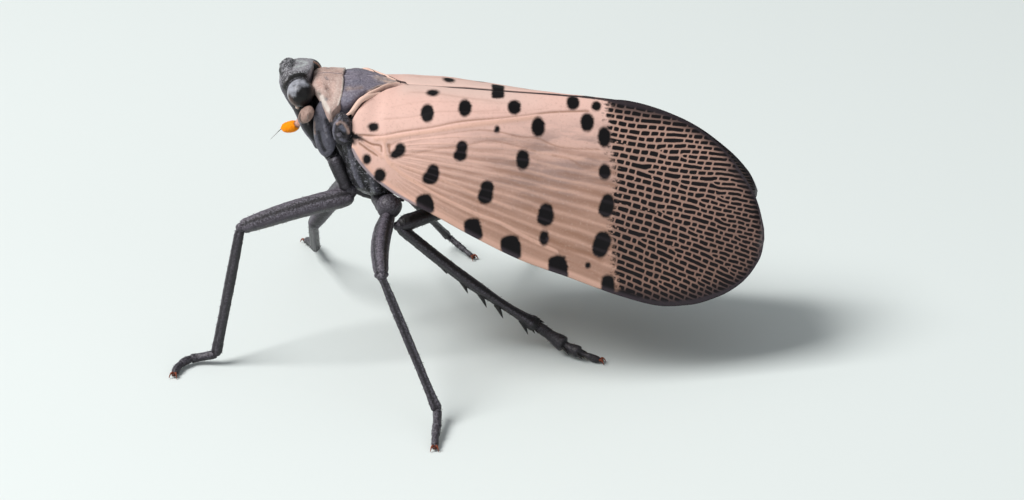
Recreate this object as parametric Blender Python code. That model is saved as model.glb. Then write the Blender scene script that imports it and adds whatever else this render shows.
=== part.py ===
"""A spotted lanternfly (Lycorma delicatula) at rest with its wings folded, as a life-size model.

Metres, +Z up. The head points to -X, the folded wings to +X, and the insect's left side faces -Y.
Every size below is in millimetres. The median plane of the body is Y = 0 while the pieces are
made, and the last step moves the whole insect so that the middle of its box stands on the origin.
Where a size is given for both sides, |Y| is its distance from the median plane.
"""

import math

import bmesh
import bpy
import numpy as np

MM = 0.001
LEFT, RIGHT = -1, 1
SIDES = {"left": LEFT, "right": RIGHT}

# Head, as level slices: height, front, back, half width
HEAD_LEVELS = [
    (14.82, -8.86, -8.36, 0.35),
    (14.70, -9.02, -7.75, 0.92),
    (14.30, -9.10, -7.68, 1.20),
    (13.60, -8.90, -7.62, 1.30),
    (12.70, -8.46, -7.42, 1.26),
    (11.80, -8.08, -7.10, 1.15),
    (10.90, -7.50, -6.72, 0.92),
    (10.00, -6.94, -6.32, 0.66),
    (9.20, -6.46, -5.98, 0.42),
    (8.78, -6.24, -5.95, 0.22),
]
EYE_CENTRE = (-7.96, 1.46, 13.90)
EYE_RADIUS = 0.68
ROSTRUM = [(-6.00, 0.0, 8.42), (-4.60, 0.0, 7.84), (-3.10, 0.0, 7.56)]
ROSTRUM_RADIUS = 0.25

# Feelers: root, end of the bulb; the left one points out, the right one droops forward
FEELERS = {
    "left": [(-7.74, 1.42, 12.66), (-7.62, 2.62, 13.10)],
    "right": [(-8.02, 1.36, 11.52), (-9.16, 2.08, 10.42)],
}
SCAPE_RADIUS, BULB_RADIUS = 0.25, 0.38

# Pronotum, as slices across: |Y|, front, back, height of the top
PRONOTUM_SLICES = [
    (0.00, -7.40, -6.02, 14.44),
    (0.60, -7.40, -6.02, 14.40),
    (1.20, -7.26, -6.02, 14.20),
    (1.80, -7.04, -6.06, 13.84),
    (2.20, -6.80, -6.26, 13.50),
    (2.36, -6.66, -6.42, 13.36),
]
PRONOTUM_THICKNESS = 0.62

# Prothorax under it, as level slices: height, front, back, half width
PROTHORAX_LEVELS = [
    (13.30, -7.06, -6.06, 1.10),
    (12.60, -7.04, -5.98, 1.18),
    (11.80, -6.80, -5.94, 1.18),
    (11.10, -6.42, -5.92, 1.10),
    (10.70, -6.20, -5.90, 0.90),
]

# Oval plates of the flank: middle and radii
PLATES = {
    "propleuron": [(-6.72, 1.74, 12.02), (0.70, 0.30, 1.22)],
    "tegula": [(-5.96, 2.74, 12.62), (0.40, 0.27, 0.66)],
}

# Mesonotum, as slices along: X, half width, height of the middle, drop to the edge
MESONOTUM_SLICES = [
    (-5.74, 1.95, 14.20, 0.42),
    (-5.36, 1.84, 14.29, 0.40),
    (-4.90, 1.38, 14.24, 0.26),
    (-4.30, 0.78, 14.12, 0.12),
    (-3.80, 0.32, 13.98, 0.05),
    (-3.42, 0.10, 13.88, 0.01),
]
MESONOTUM_THICKNESS = 0.75

# Thorax and abdomen, as slices along: X, half width, top, bottom
THORAX_SLICES = [
    (-5.62, 1.50, 12.75, 11.00),
    (-5.20, 2.05, 12.92, 9.90),
    (-4.60, 2.30, 12.92, 8.78),
    (-3.80, 2.30, 12.80, 8.62),
    (-2.80, 2.10, 12.55, 8.66),
    (-2.05, 1.80, 12.25, 8.82),
]
ABDOMEN_SLICES = [
    (-1.76, 1.50, 12.00, 9.00),
    (-1.00, 1.75, 11.95, 8.86),
    (1.00, 2.00, 11.75, 8.20),
    (3.00, 1.90, 11.30, 7.62),
    (5.00, 1.50, 10.60, 7.42),
    (6.60, 0.90, 9.75, 7.55),
    (7.60, 0.34, 9.05, 7.95),
]

# Forewing margins: X, |Y|, Z. The inner one runs beside the scutellum and along the back
WING_INNER = [
    (-5.46, 2.40, 13.16),
    (-5.20, 2.16, 13.50),
    (-4.60, 1.52, 13.84),
    (-3.90, 0.72, 13.88),
    (-3.20, 0.14, 13.82),
    (0.00, 0.12, 13.62),
    (3.00, 0.12, 13.38),
    (6.60, 0.12, 13.10),
    (8.60, 0.12, 12.76),
    (10.60, 0.12, 11.98),
    (11.65, 0.12, 11.35),
    (12.65, 0.14, 10.54),
    (13.20, 0.30, 9.98),
    (13.65, 0.58, 9.38),
    (14.15, 0.96, 8.56),
    (14.45, 1.45, 7.76),
    (14.62, 2.30, 7.10),
]
WING_OUTER = [
    (-5.46, 3.05, 11.60),
    (-5.20, 3.34, 11.20),
    (-4.60, 3.72, 10.58),
    (-3.90, 4.05, 10.10),
    (-3.20, 4.32, 9.70),
    (-1.75, 4.72, 9.05),
    (0.45, 5.03, 7.86),
    (2.65, 5.13, 6.72),
    (5.05, 5.08, 5.74),
    (7.50, 4.90, 4.68),
    (9.50, 4.60, 3.99),
    (11.00, 4.30, 3.91),
    (12.00, 4.05, 4.08),
    (12.90, 3.80, 4.40),
    (13.70, 3.48, 4.92),
    (14.20, 3.18, 5.50),
    (14.50, 2.94, 6.10),
    (14.62, 2.66, 6.70),
]
# How the wing leaves its inner margin: X, the length it holds that direction, and its slope there
WING_CREST = [
    (-5.46, 0.8, 35.0),
    (-4.60, 1.6, 20.0),
    (-3.20, 3.0, -6.0),
    (-1.50, 3.1, -7.0),
    (0.00, 3.1, -3.0),
    (2.00, 2.8, 1.0),
    (4.00, 2.0, 8.0),
    (6.60, 1.8, 26.0),
    (9.00, 1.6, 44.0),
    (12.00, 1.2, 58.0),
    (14.70, 0.6, 62.0),
]
RIDGE_GAP = 0.12
WING_FOOT_SLOPE = 66.0
WING_THICKNESS = 0.5
WING_STATIONS = 32
WING_POINTS = 11

# Hindwing, folded under the forewing: its X range, the part of the section it lies under, and depth
HINDWING_X = (-2.5, 11.2)
HINDWING_SPAN = (0.26, 0.80)
HINDWING_DEPTH = 0.74

# Legs: trochanter, knee, end of the tibia, then points of the tarsus out to the claws, all with |Y|
COXAE = {
    "fore": [(-6.44, 1.72, 10.42), (-5.92, 1.56, 9.04)],
    "mid": [(-4.30, 1.10, 8.10), (-3.84, 2.00, 7.95)],
    "hind": [(-1.74, 0.92, 8.22), (-0.84, 1.12, 8.12)],
}
COXA_RADII = {"fore": (0.40, 0.34), "mid": (0.42, 0.40), "hind": (0.38, 0.36)}
LEGS = {
    ("fore", "left"): [(-5.66, 1.52, 8.50), (-11.00, 3.00, 7.47), (-12.46, 3.10, 0.55),
                       (-13.39, 3.00, 0.36), (-13.94, 3.29, 0.32), (-14.29, 3.84, 0.26), (-14.42, 4.43, 0.17)],
    ("fore", "right"): [(-5.66, 1.36, 8.30), (-7.95, 4.30, 4.30), (-8.20, 9.10, 0.76),
                        (-8.36, 9.96, 0.62), (-8.56, 10.60, 0.46), (-8.86, 11.22, 0.17)],
    ("mid", "left"): [(-3.80, 2.64, 7.90), (-3.98, 7.00, 6.72), (-1.30, 9.38, 0.70),
                      (-1.32, 10.27, 0.50), (-1.38, 11.22, 0.36), (-1.40, 11.96, 0.17)],
    ("mid", "right"): [(-3.80, 2.64, 7.90), (-4.00, 6.70, 5.72), (-1.15, 10.60, 0.70),
                       (-0.72, 10.15, 0.52), (-0.36, 9.76, 0.38), (0.14, 9.22, 0.17)],
    ("hind", "left"): [(-0.36, 1.46, 8.06), (-3.32, 2.84, 7.48), (3.50, 1.60, 1.44),
                       (4.90, 2.22, 0.66), (5.64, 2.65, 0.46), (6.63, 2.96, 0.17)],
    ("hind", "right"): [(-0.36, 1.46, 8.06), (-1.70, 4.00, 7.80), (3.00, 8.80, 1.16),
                        (3.96, 9.40, 0.66), (4.62, 9.78, 0.44), (5.40, 10.22, 0.17)],
}
FEMUR_RADII = {"fore": (0.52, 0.32), "mid": (0.42, 0.34), "hind": (0.40, 0.32)}
TIBIA_RADII = {"fore": (0.25, 0.26), "mid": (0.25, 0.26), "hind": (0.29, 0.28)}
TARSUS_RADII = {"fore": (0.25, 0.26), "mid": (0.26, 0.27), "hind": (0.32, 0.27)}
JOINT_INSET = 0.47
LEG_SIDES = 8

COLOURS = {  # red, green, blue and roughness of each finish
    "head": (0.085, 0.080, 0.090, 0.55),
    "eye": (0.012, 0.010, 0.012, 0.08),
    "feeler": (0.850, 0.300, 0.030, 0.35),
    "pronotum": (0.620, 0.470, 0.390, 0.55),
    "body": (0.055, 0.050, 0.056, 0.60),
    "abdomen": (0.700, 0.520, 0.080, 0.50),
    "forewing": (0.640, 0.420, 0.320, 0.45),
    "hindwing": (0.500, 0.060, 0.050, 0.50),
    "leg": (0.045, 0.040, 0.046, 0.50),
}


def clear_scene():
    for old in list(bpy.data.objects):
        bpy.data.objects.remove(old)


def make_materials():
    made = {}
    for name, (red, green, blue, roughness) in COLOURS.items():
        made[name] = bpy.data.materials.new(name)
        made[name].use_nodes = True
        shader = made[name].node_tree.nodes["Principled BSDF"]
        shader.inputs["Base Color"].default_value = (red, green, blue, 1.0)
        shader.inputs["Roughness"].default_value = roughness
        shader.inputs["Metallic"].default_value = 0.0
    return made


def smooth(stations, at):
    """The stations' values at the given first values, on a cubic through them that never overshoots."""
    table = np.array(stations, float)
    x, y = table[:, 0], table[:, 1:]
    steps = np.diff(x)[:, None]
    slopes = np.diff(y, axis=0) / steps
    between = np.where(slopes[:-1] * slopes[1:] > 0, 0.5 * (slopes[:-1] + slopes[1:]), 0)
    tangents = np.concatenate([slopes[:1], between, slopes[-1:]])
    at = np.clip(np.atleast_1d(np.asarray(at, float)), x[0], x[-1])
    i = np.clip(np.searchsorted(x, at, side="right") - 1, 0, len(x) - 2)
    t = ((at - x[i]) / np.diff(x)[i])[:, None]
    h = np.diff(x)[i][:, None]
    return (
        (2 * t**3 - 3 * t**2 + 1) * y[i] + (t**3 - 2 * t**2 + t) * h * tangents[i]
        + (3 * t**2 - 2 * t**3) * y[i + 1] + (t**3 - t**2) * h * tangents[i + 1]
    )


def loft(name, rings, finish, side=RIGHT):
    """A closed solid through rings of equal point counts, with a fan over each end. side LEFT mirrors it."""
    rings = np.asarray(rings, float).copy()
    rings[..., 1] *= side
    count, around = rings.shape[:2]
    shape = bmesh.new()
    rows = [[shape.verts.new(point * MM) for point in ring] for ring in rings]
    for low, high in zip(rows, rows[1:]):
        for i in range(around):
            j = (i + 1) % around
            shape.faces.new((low[i], low[j], high[j], high[i]))
    for row, ring in ((rows[0], rings[0]), (rows[-1], rings[-1])):
        middle = shape.verts.new(ring.mean(axis=0) * MM)
        for i in range(around):
            shape.faces.new((row[i], row[(i + 1) % around], middle))
    bmesh.ops.recalc_face_normals(shape, faces=shape.faces)
    mesh = bpy.data.meshes.new(name)
    shape.to_mesh(mesh)
    shape.free()
    mesh.shade_smooth()
    mesh.set_sharp_from_angle(angle=math.radians(50))
    mesh.materials.append(finish)
    made = bpy.data.objects.new(name, mesh)
    bpy.context.scene.collection.objects.link(made)
    return made


def circle(sides):
    """Cosine and sine round a circle, from the +X side."""
    turn = np.arange(sides) * 2 * math.pi / sides
    return np.cos(turn), np.sin(turn)


def squared(value, squareness):
    """Pushes a cosine or sine outwards, which makes an oval boxier."""
    return np.sign(value) * np.abs(value) ** squareness


def level_rings(levels, sides=14, squareness=0.8):
    """Level ovals from (height, front, back, half width)."""
    along, across = (squared(c, squareness) for c in circle(sides))
    return [
        np.stack([(front + back) / 2 + (back - front) / 2 * along, half * across, np.full(sides, height)], 1)
        for height, front, back, half in levels
    ]


def upright_rings(slices, sides=14, squareness=0.85):
    """Upright ovals across the body from (x, half width, top, bottom)."""
    across, up = (squared(c, squareness) for c in circle(sides))
    return [
        np.stack([np.full(sides, x), half * across, (top + bottom) / 2 + (top - bottom) / 2 * up], 1)
        for x, half, top, bottom in slices
    ]


def frames_along(points):
    """For each point of a path, its direction and two directions square to it that don't twist."""
    points = np.asarray(points, float)
    ahead = np.gradient(points, axis=0)
    ahead /= np.linalg.norm(ahead, axis=1)[:, None]
    side = np.cross(ahead, (0.0, 0.0, 1.0))
    side /= np.linalg.norm(side, axis=1)[:, None]
    return ahead, side, np.cross(side, ahead)


def tube_rings(points, radii, sides=LEG_SIDES):
    """Round rings of the given radii about a path."""
    points = np.asarray(points, float)
    _, side, up = frames_along(points)
    cosine, sine = circle(sides)
    radii = np.asarray(radii, float)[:, None, None]
    return points[:, None] + radii * (cosine[:, None] * side[:, None] + sine[:, None] * up[:, None])


def make_head(finish):
    loft("head", level_rings(HEAD_LEVELS), finish["head"])
    radii = [ROSTRUM_RADIUS * part for part in (1.0, 1.0, 0.8)]
    loft("rostrum", tube_rings(ROSTRUM, radii), finish["head"])


def make_eye(name, side, finish):
    """The outer half of a ball, flat where it meets the head."""
    cosine, sine = circle(12)
    x, y, z = EYE_CENTRE
    rings = []
    for turn in np.radians([0, 25, 48, 68, 84]):
        radius = EYE_RADIUS * math.cos(turn)
        out = np.full(12, y + EYE_RADIUS * math.sin(turn))
        rings.append(np.stack([x + radius * cosine, out, z + radius * sine], 1))
    loft(name, rings, finish["eye"], side)


def make_feeler(name, side, root, tip, finish):
    """A short stalk that swells into an egg-shaped bulb, closed by the stub that the bristle grows from."""
    parts = np.array([0.0, 0.30, 0.42, 0.56, 0.74, 0.90, 1.0])
    bulb = BULB_RADIUS * np.array([0.82, 1.0, 0.92, 0.70, 0.36])
    radii = np.concatenate([[SCAPE_RADIUS, SCAPE_RADIUS], bulb])
    points = np.array(root) + parts[:, None] * (np.array(tip) - np.array(root))
    loft(name, tube_rings(points, radii, 10), finish["feeler"], side)


def make_pronotum(finish):
    """A saddle of even thickness, carried across the body from one lateral corner to the other."""
    mirrored = [(-y, front, back, top) for y, front, back, top in PRONOTUM_SLICES[:0:-1]]
    rings = []
    for y, front, back, top in mirrored + PRONOTUM_SLICES:
        under = top - PRONOTUM_THICKNESS
        crest = front + 0.4 * (back - front)
        over = [(front, y, top - 0.34), (front + 0.12, y, top - 0.1), (crest, y, top), (back, y, top - 0.06)]
        rings.append(over + [(back, y, under), (front + 0.12, y, under)])
    loft("pronotum", rings, finish["pronotum"])
    loft("prothorax", level_rings(PROTHORAX_LEVELS), finish["body"])


def make_mesonotum(finish):
    """A low vault that narrows to the tip of the scutellum, flat below."""
    rings = []
    for x, half, top, drop in MESONOTUM_SLICES:
        across = np.linspace(-1, 1, 7)
        vault = np.stack([np.full(7, x), half * across, top - drop * across**2], 1)
        under = top - MESONOTUM_THICKNESS
        rings.append(np.concatenate([vault, [(x, 0.9 * half, under), (x, -0.9 * half, under)]]))
    loft("mesonotum", rings, finish["body"])


def make_trunk(finish):
    loft("thorax", upright_rings(THORAX_SLICES), finish["body"])
    loft("abdomen", upright_rings(ABDOMEN_SLICES), finish["abdomen"])


def make_plate(name, side, middle, radii, finish):
    """An oval scale, made of level ovals."""
    (x, y, z), (along, across, up) = middle, radii
    cosine, sine = circle(10)
    rings = []
    for turn in np.radians([-78, -45, 0, 45, 78]):
        width = math.cos(turn)
        level = np.full(10, z + up * math.sin(turn))
        rings.append(np.stack([x + along * width * cosine, y + across * width * sine, level], 1))
    loft(name, rings, finish["body"], side)


def wing_sections(x, span, depth):
    """Sections of the folded wing at the places x, each from span[0] to span[1] of the way down its side.

    A section is a Bezier curve in the upright plane: it leaves the ridge flat, or steeply towards the
    wing's tip, and reaches the outer margin at the foot slope. depth moves it in from the outer face.
    """
    inner, outer = smooth(WING_INNER, x), smooth(WING_OUTER, x)
    flat, slope = smooth(WING_CREST, x).T[:, :, None]
    fall = np.linalg.norm(outer - inner, axis=1)[:, None]
    steep, foot = np.radians(slope), math.radians(WING_FOOT_SLOPE)
    reach = np.minimum(flat, 0.45 * fall)
    leave = inner + reach * np.concatenate([np.cos(steep), -np.sin(steep)], 1)
    arrive = outer - 0.45 * fall * np.array([math.cos(foot), -math.sin(foot)])
    t = np.linspace(*span, WING_POINTS)[None, :, None]
    ends = [p[:, None] for p in (inner, leave, arrive, outer)]
    shares = [(1 - t)**3, 3 * t * (1 - t)**2, 3 * t**2 * (1 - t), t**3]
    curve = sum(share * end for share, end in zip(shares, ends))
    tangent = np.gradient(curve, axis=1)
    tangent /= np.linalg.norm(tangent, axis=2)[..., None]
    inward = np.stack([tangent[..., 1], -tangent[..., 0]], 2)
    moved = curve + depth * inward
    moved[..., 0] = np.maximum(moved[..., 0], RIDGE_GAP)
    return np.concatenate([np.broadcast_to(x[:, None, None], moved.shape[:2] + (1,)), moved], 2)


def make_wing(name, side, x, span, depth, finish):
    """A bent sheet between two depths, closed at its ends."""
    face = wing_sections(x, span, depth)
    back = wing_sections(x, span, depth + WING_THICKNESS)
    loft(name, np.concatenate([face, back[:, ::-1]], axis=1), finish, side)


def make_wings(name, side, finish):
    eased = np.sin(np.linspace(0, 0.5 * math.pi, WING_STATIONS)) ** 1.15
    forewing_x = WING_INNER[0][0] + (WING_INNER[-1][0] - WING_INNER[0][0]) * eased
    make_wing(f"forewing_{name}", side, forewing_x, (0, 1), 0.0, finish["forewing"])
    hindwing_x = np.linspace(*HINDWING_X, 10)
    make_wing(f"hindwing_{name}", side, hindwing_x, HINDWING_SPAN, HINDWING_DEPTH, finish["hindwing"])


def make_rod(name, side, start, end, radii, finish, insets=(0.0, 0.0)):
    """A straight leg piece with domed ends, held back from each joint by its inset."""
    start, end = np.array(start), np.array(end)
    ahead = (end - start) / np.linalg.norm(end - start)
    start, end = start + insets[0] * ahead, end - insets[1] * ahead
    length = np.linalg.norm(end - start)
    dome = [0.0, 0.07, 0.22]
    parts = np.array([d / length for d in dome] + [0.5] + [1 - d / length for d in dome[::-1]])
    swell = np.array([0.55, 0.86, 1.0, 1.0, 1.0, 0.86, 0.55])
    radius = swell * (radii[0] + (radii[1] - radii[0]) * parts)
    loft(name, tube_rings(start + parts[:, None] * (end - start), radius), finish, side)


def make_foot(name, side, points, radii, finish):
    """A tarsus carried along its points. What would dip below the floor is a flat sole on it."""
    points = np.array(points)
    start = points[0] + 0.42 * (points[1] - points[0])
    toe = points[-1] - points[-2]
    path = np.array([start, *points[1:-1], points[-1] - 0.4 * toe, points[-1] + 0.15 * toe])
    path[-2:, 2] = points[-1, 2]
    radius = np.linspace(radii[0], radii[1], len(path))
    radius[[0, -1]] *= (0.8, 0.9)
    rings = tube_rings(path, radius)
    rings[..., 2] = np.maximum(rings[..., 2], 0.0)
    loft(name, rings, finish, side)


def make_leg(kind, hand, points, finish):
    side = SIDES[hand]
    trochanter, knee, ankle = points[:3]
    leg = f"{kind}_{hand}"
    make_rod(f"coxa_{leg}", side, *COXAE[kind], COXA_RADII[kind], finish)
    make_rod(f"femur_{leg}", side, trochanter, knee, FEMUR_RADII[kind], finish, (0.0, 0.10))
    make_rod(f"tibia_{leg}", side, knee, ankle, TIBIA_RADII[kind], finish, (JOINT_INSET, 0.0))
    make_foot(f"tarsus_{leg}", side, points[2:], TARSUS_RADII[kind], finish)


def stand_on_origin():
    """Hangs every piece on one empty, moved so that the middle of the box's underside is the origin."""
    pieces = [piece for piece in bpy.data.objects if piece.type == "MESH"]
    corners = np.array([vertex.co[:] for piece in pieces for vertex in piece.data.vertices])
    low, high = corners.min(axis=0), corners.max(axis=0)
    insect = bpy.data.objects.new("insect", None)
    bpy.context.scene.collection.objects.link(insect)
    insect.location = (-(low[0] + high[0]) / 2, -(low[1] + high[1]) / 2, -low[2])
    for piece in pieces:
        piece.parent = insect


def build():
    clear_scene()
    finish = make_materials()
    make_head(finish)
    make_pronotum(finish)
    make_mesonotum(finish)
    make_trunk(finish)
    for name, side in SIDES.items():
        make_eye(f"eye_{name}", side, finish)
        make_feeler(f"antenna_{name}", side, *FEELERS[name], finish)
        for plate, (middle, radii) in PLATES.items():
            make_plate(f"{plate}_{name}", side, middle, radii, finish)
        make_wings(name, side, finish)
    for (kind, hand), points in LEGS.items():
        make_leg(kind, hand, points, finish["leg"])
    stand_on_origin()


build()
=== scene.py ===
# A spotted lanternfly at rest, life size: head towards -X, wings folded, left side towards -Y.
# Sizes are in millimetres about the insect's own median plane; toWorld turns them into the frame's metres.

import math

import bpy
import numpy as np
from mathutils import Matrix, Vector


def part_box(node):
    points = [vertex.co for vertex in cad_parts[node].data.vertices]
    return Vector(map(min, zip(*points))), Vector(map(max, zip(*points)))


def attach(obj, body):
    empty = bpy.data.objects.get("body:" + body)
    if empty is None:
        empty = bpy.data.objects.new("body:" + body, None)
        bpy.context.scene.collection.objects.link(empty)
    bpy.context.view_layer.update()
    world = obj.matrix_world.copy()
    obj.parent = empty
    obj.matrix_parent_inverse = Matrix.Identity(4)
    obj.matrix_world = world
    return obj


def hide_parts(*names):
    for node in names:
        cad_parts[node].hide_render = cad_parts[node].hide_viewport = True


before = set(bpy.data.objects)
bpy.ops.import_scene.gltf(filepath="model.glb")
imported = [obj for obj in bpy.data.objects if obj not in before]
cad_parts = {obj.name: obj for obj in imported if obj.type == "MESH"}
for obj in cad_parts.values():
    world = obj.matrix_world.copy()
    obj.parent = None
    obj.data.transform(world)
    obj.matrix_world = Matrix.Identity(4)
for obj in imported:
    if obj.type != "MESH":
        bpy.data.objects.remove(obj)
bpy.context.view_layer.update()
leftWingBox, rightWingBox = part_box("forewing_left"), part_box("forewing_right")
wingBaseX = -5.46  # front end of both forewings on the insect's own X
shift = np.array([
    leftWingBox[0].x * 1000 - wingBaseX,
    (leftWingBox[0].y + rightWingBox[1].y) * 500,
    0.0,
])  # from the insect's own frame to the CAD's
sides = {"left": -1, "right": 1}
print("frame loaded")


def toWorld(points):  # millimetres about the median plane to metres in the frame
    return (np.asarray(points, float) + shift) * 0.001


def paint(red, green, blue):  # screen colour, 0 to 255, as linear light
    screen = np.array([red, green, blue]) / 255
    return np.where(screen <= 0.04045, screen / 12.92, ((screen + 0.055) / 1.055) ** 2.4)


def through(stations, at):  # cubic through the stations that never overshoots; the first column is the place
    table = np.array(stations, float)
    x, y = table[:, 0], table[:, 1:]
    slopes = np.diff(y, axis=0) / np.diff(x)[:, None]
    between = np.where(slopes[:-1] * slopes[1:] > 0, 0.5 * (slopes[:-1] + slopes[1:]), 0)
    tangents = np.concatenate([slopes[:1], between, slopes[-1:]])
    at = np.clip(np.atleast_1d(np.asarray(at, float)), x[0], x[-1])
    i = np.clip(np.searchsorted(x, at, side="right") - 1, 0, len(x) - 2)
    h = np.diff(x)[i][:, None]
    t = (at - x[i])[:, None] / h
    return (
        (2 * t**3 - 3 * t**2 + 1) * y[i] + (t**3 - 2 * t**2 + t) * h * tangents[i]
        + (3 * t**2 - 2 * t**3) * y[i + 1] + (t**3 - t**2) * h * tangents[i + 1]
    )


def bump(distance, width):  # 1 in the middle, falling off like a bell
    return np.exp(-(distance / width) ** 2)


def ramp(value, low, high):  # 0 below low, 1 above high, eased between
    t = np.clip((value - low) / (high - low), 0, 1)
    return t * t * (3 - 2 * t)


def unit(vector):  # the same direction, one long
    return np.asarray(vector, float) / np.linalg.norm(vector)


def units(vectors):  # the same for the rows of an array
    return vectors / np.maximum(np.linalg.norm(vectors, axis=-1, keepdims=True), 1e-12)


def fade(value, low, high):  # 1 below low, 0 above high
    return ramp(-value, -high, -low)


def away(points, path):  # distance from each point to a path, the least over its straight lengths
    path = np.asarray(path, float)
    least = np.full(points.shape[:-1], np.inf)
    for start, end in zip(path, path[1:]):
        ahead = end - start
        share = np.clip((points - start) @ ahead / (ahead @ ahead), 0, 1)
        least = np.minimum(least, np.linalg.norm(points - start - share[..., None] * ahead, axis=-1))
    return least


# whole numbers that scatter a cube's place into a random number
scatter = {"cube": (73856093, 19349663, 83492791), "seed": 7919, "spread": 1274126177, "keep": 0x7FFFFFFF,
           "levels": 65536}


def grain(points, size, seed=0):  # value noise: random numbers at the corners of cubes, blended between them
    cell = np.floor(points / size).astype(np.int64)
    part = points / size - cell
    part = part * part * (3 - 2 * part)
    total = np.zeros(points.shape[:-1])
    for corner in np.ndindex(2, 2, 2):
        key = ((cell + corner) * scatter["cube"]).sum(axis=-1) + seed * scatter["seed"]
        key = ((key ^ (key >> 13)) * scatter["spread"]) & scatter["keep"]
        weight = np.prod(np.where(corner, part, 1 - part), axis=-1)
        total += weight * (((key ^ (key >> 15)) % scatter["levels"]) * 2 / scatter["levels"] - 1)
    return total


def circle(count):  # cosine and sine round a circle
    turn = np.arange(count) * 2 * math.pi / count
    return np.cos(turn), np.sin(turn)


def squared(value, power):  # a cosine or sine pushed outwards, which makes an oval boxier
    return np.sign(value) * np.abs(value) ** power


def gridFaces(rows, columns, around):  # the quads of a grid; around joins its last column to its first
    row, column = np.meshgrid(np.arange(rows - 1), np.arange(columns - (not around)), indexing="ij")
    beside = (column + 1) % columns
    corners = [row * columns + column, row * columns + beside,
               (row + 1) * columns + beside, (row + 1) * columns + column]
    return np.stack(corners, 2).reshape(-1, 4)


def outward(part):  # turns the faces round if the volume they enclose comes out negative
    points, volume = part["points"], 0.0
    for corners in part["faces"]:
        for second in range(1, corners.shape[1] - 1):
            a, b, c = (points[corners[:, i]] for i in (0, second, second + 1))
            volume += (a * np.cross(b, c)).sum()
    if volume < 0:
        part["faces"] = [corners[:, ::-1] for corners in part["faces"]]
    return part


def closedTube(grid):  # a grid of rings joined round, with a fan over each end
    rows, columns = grid.shape[:2]
    ring = np.arange(columns)
    beside = (ring + 1) % columns
    last, pole = (rows - 1) * columns, rows * columns
    fans = [np.stack([beside, ring, np.full(columns, pole)], 1),
            np.stack([ring + last, beside + last, np.full(columns, pole + 1)], 1)]
    points = np.concatenate([grid.reshape(-1, 3), grid[[0, -1]].mean(axis=1)])
    return outward({"points": points, "faces": [gridFaces(rows, columns, True), *fans]})


def ringsOf(x, y, z):  # a closed tube from arrays of coordinates, a ring in each row
    return closedTube(np.stack(np.broadcast_arrays(x, y, z), 2))


def normalsOf(part):  # each point's normal, the sum of its faces' area vectors
    points = part["points"]
    total = np.zeros_like(points)
    for corners in part["faces"]:
        first, last = points[corners[:, 0]], points[corners[:, -1]]
        area = np.cross(points[corners[:, 2]] - first, last - points[corners[:, 1]])
        for column in corners.T:
            for axis in range(3):
                total[:, axis] += np.bincount(column, area[:, axis], len(points))
    return units(total)


def framesAlong(path):  # direction of a path at each point, and two directions square to it
    ahead = units(np.gradient(np.asarray(path, float), axis=0))
    side = units(np.cross(ahead, (0.0, 0.0, 1.0)))
    return ahead, side, np.cross(side, ahead)


def tube(path, radii, around=20, depth=1.0, ribs=0.0):
    # rings about a path: radius times (1 + ribs cos 4a), squeezed upright by depth
    path = np.asarray(path, float)
    radii = np.broadcast_to(np.asarray(radii, float), len(path))
    _, side, up = framesAlong(path)
    cosine, sine = circle(around)
    ribbed = 1 + ribs * np.cos(4 * np.arctan2(sine, cosine))
    wide, high = radii[:, None] * cosine * ribbed, radii[:, None] * sine * ribbed * np.asarray(depth)
    return closedTube(path[:, None] + wide[..., None] * side[:, None] + high[..., None] * up[:, None])


def bent(points, count):  # a smooth path through a few points, evenly spaced by their distances
    points = np.asarray(points, float)
    travel = np.concatenate([[0], np.cumsum(np.linalg.norm(np.diff(points, axis=0), axis=1))])
    return through(np.column_stack([travel, points]), np.linspace(0, travel[-1], count))


def tinted(part, colour):  # one colour for every point, before its marks are painted
    part["tint"] = np.tile(np.asarray(colour, float), (len(part["points"]), 1))
    return part


def marked(part, marks):
    # each mark: a path on the left side, half width, how far it rises, its colour and how much that covers
    seen = part["points"].copy()
    seen[:, 1] = -np.abs(seen[:, 1])
    rise = np.zeros(len(seen))
    for path, width, height, colour, cover in marks:
        distance = away(seen, path if len(path) > 1 else [path[0], np.add(path[0], 1e-4)])
        rise += height * bump(distance, width)
        share = cover / (1 + (distance / width) ** 6)
        part["tint"] += (colour - part["tint"]) * share[:, None]
    part["points"] += rise[:, None] * normalsOf(part)
    return part


def roughened(part, size, height, seed=0):  # small random lumps along the normals
    part["points"] += (height * grain(part["points"], size, seed))[:, None] * normalsOf(part)
    return part


def shellPart(part, look, marks):  # a tinted, marked and lightly lumpy part
    return roughened(marked(tinted(part, look["base"]), marks), *look["lumps"])


def onSide(part, side):  # a copy on the given side of a part made on the right, where Y is positive
    copy = dict(part)
    copy["points"] = part["points"] * (1, side, 1)
    if side < 0:
        copy["faces"] = [corners[:, ::-1] for corners in part["faces"]]
    return copy


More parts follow.
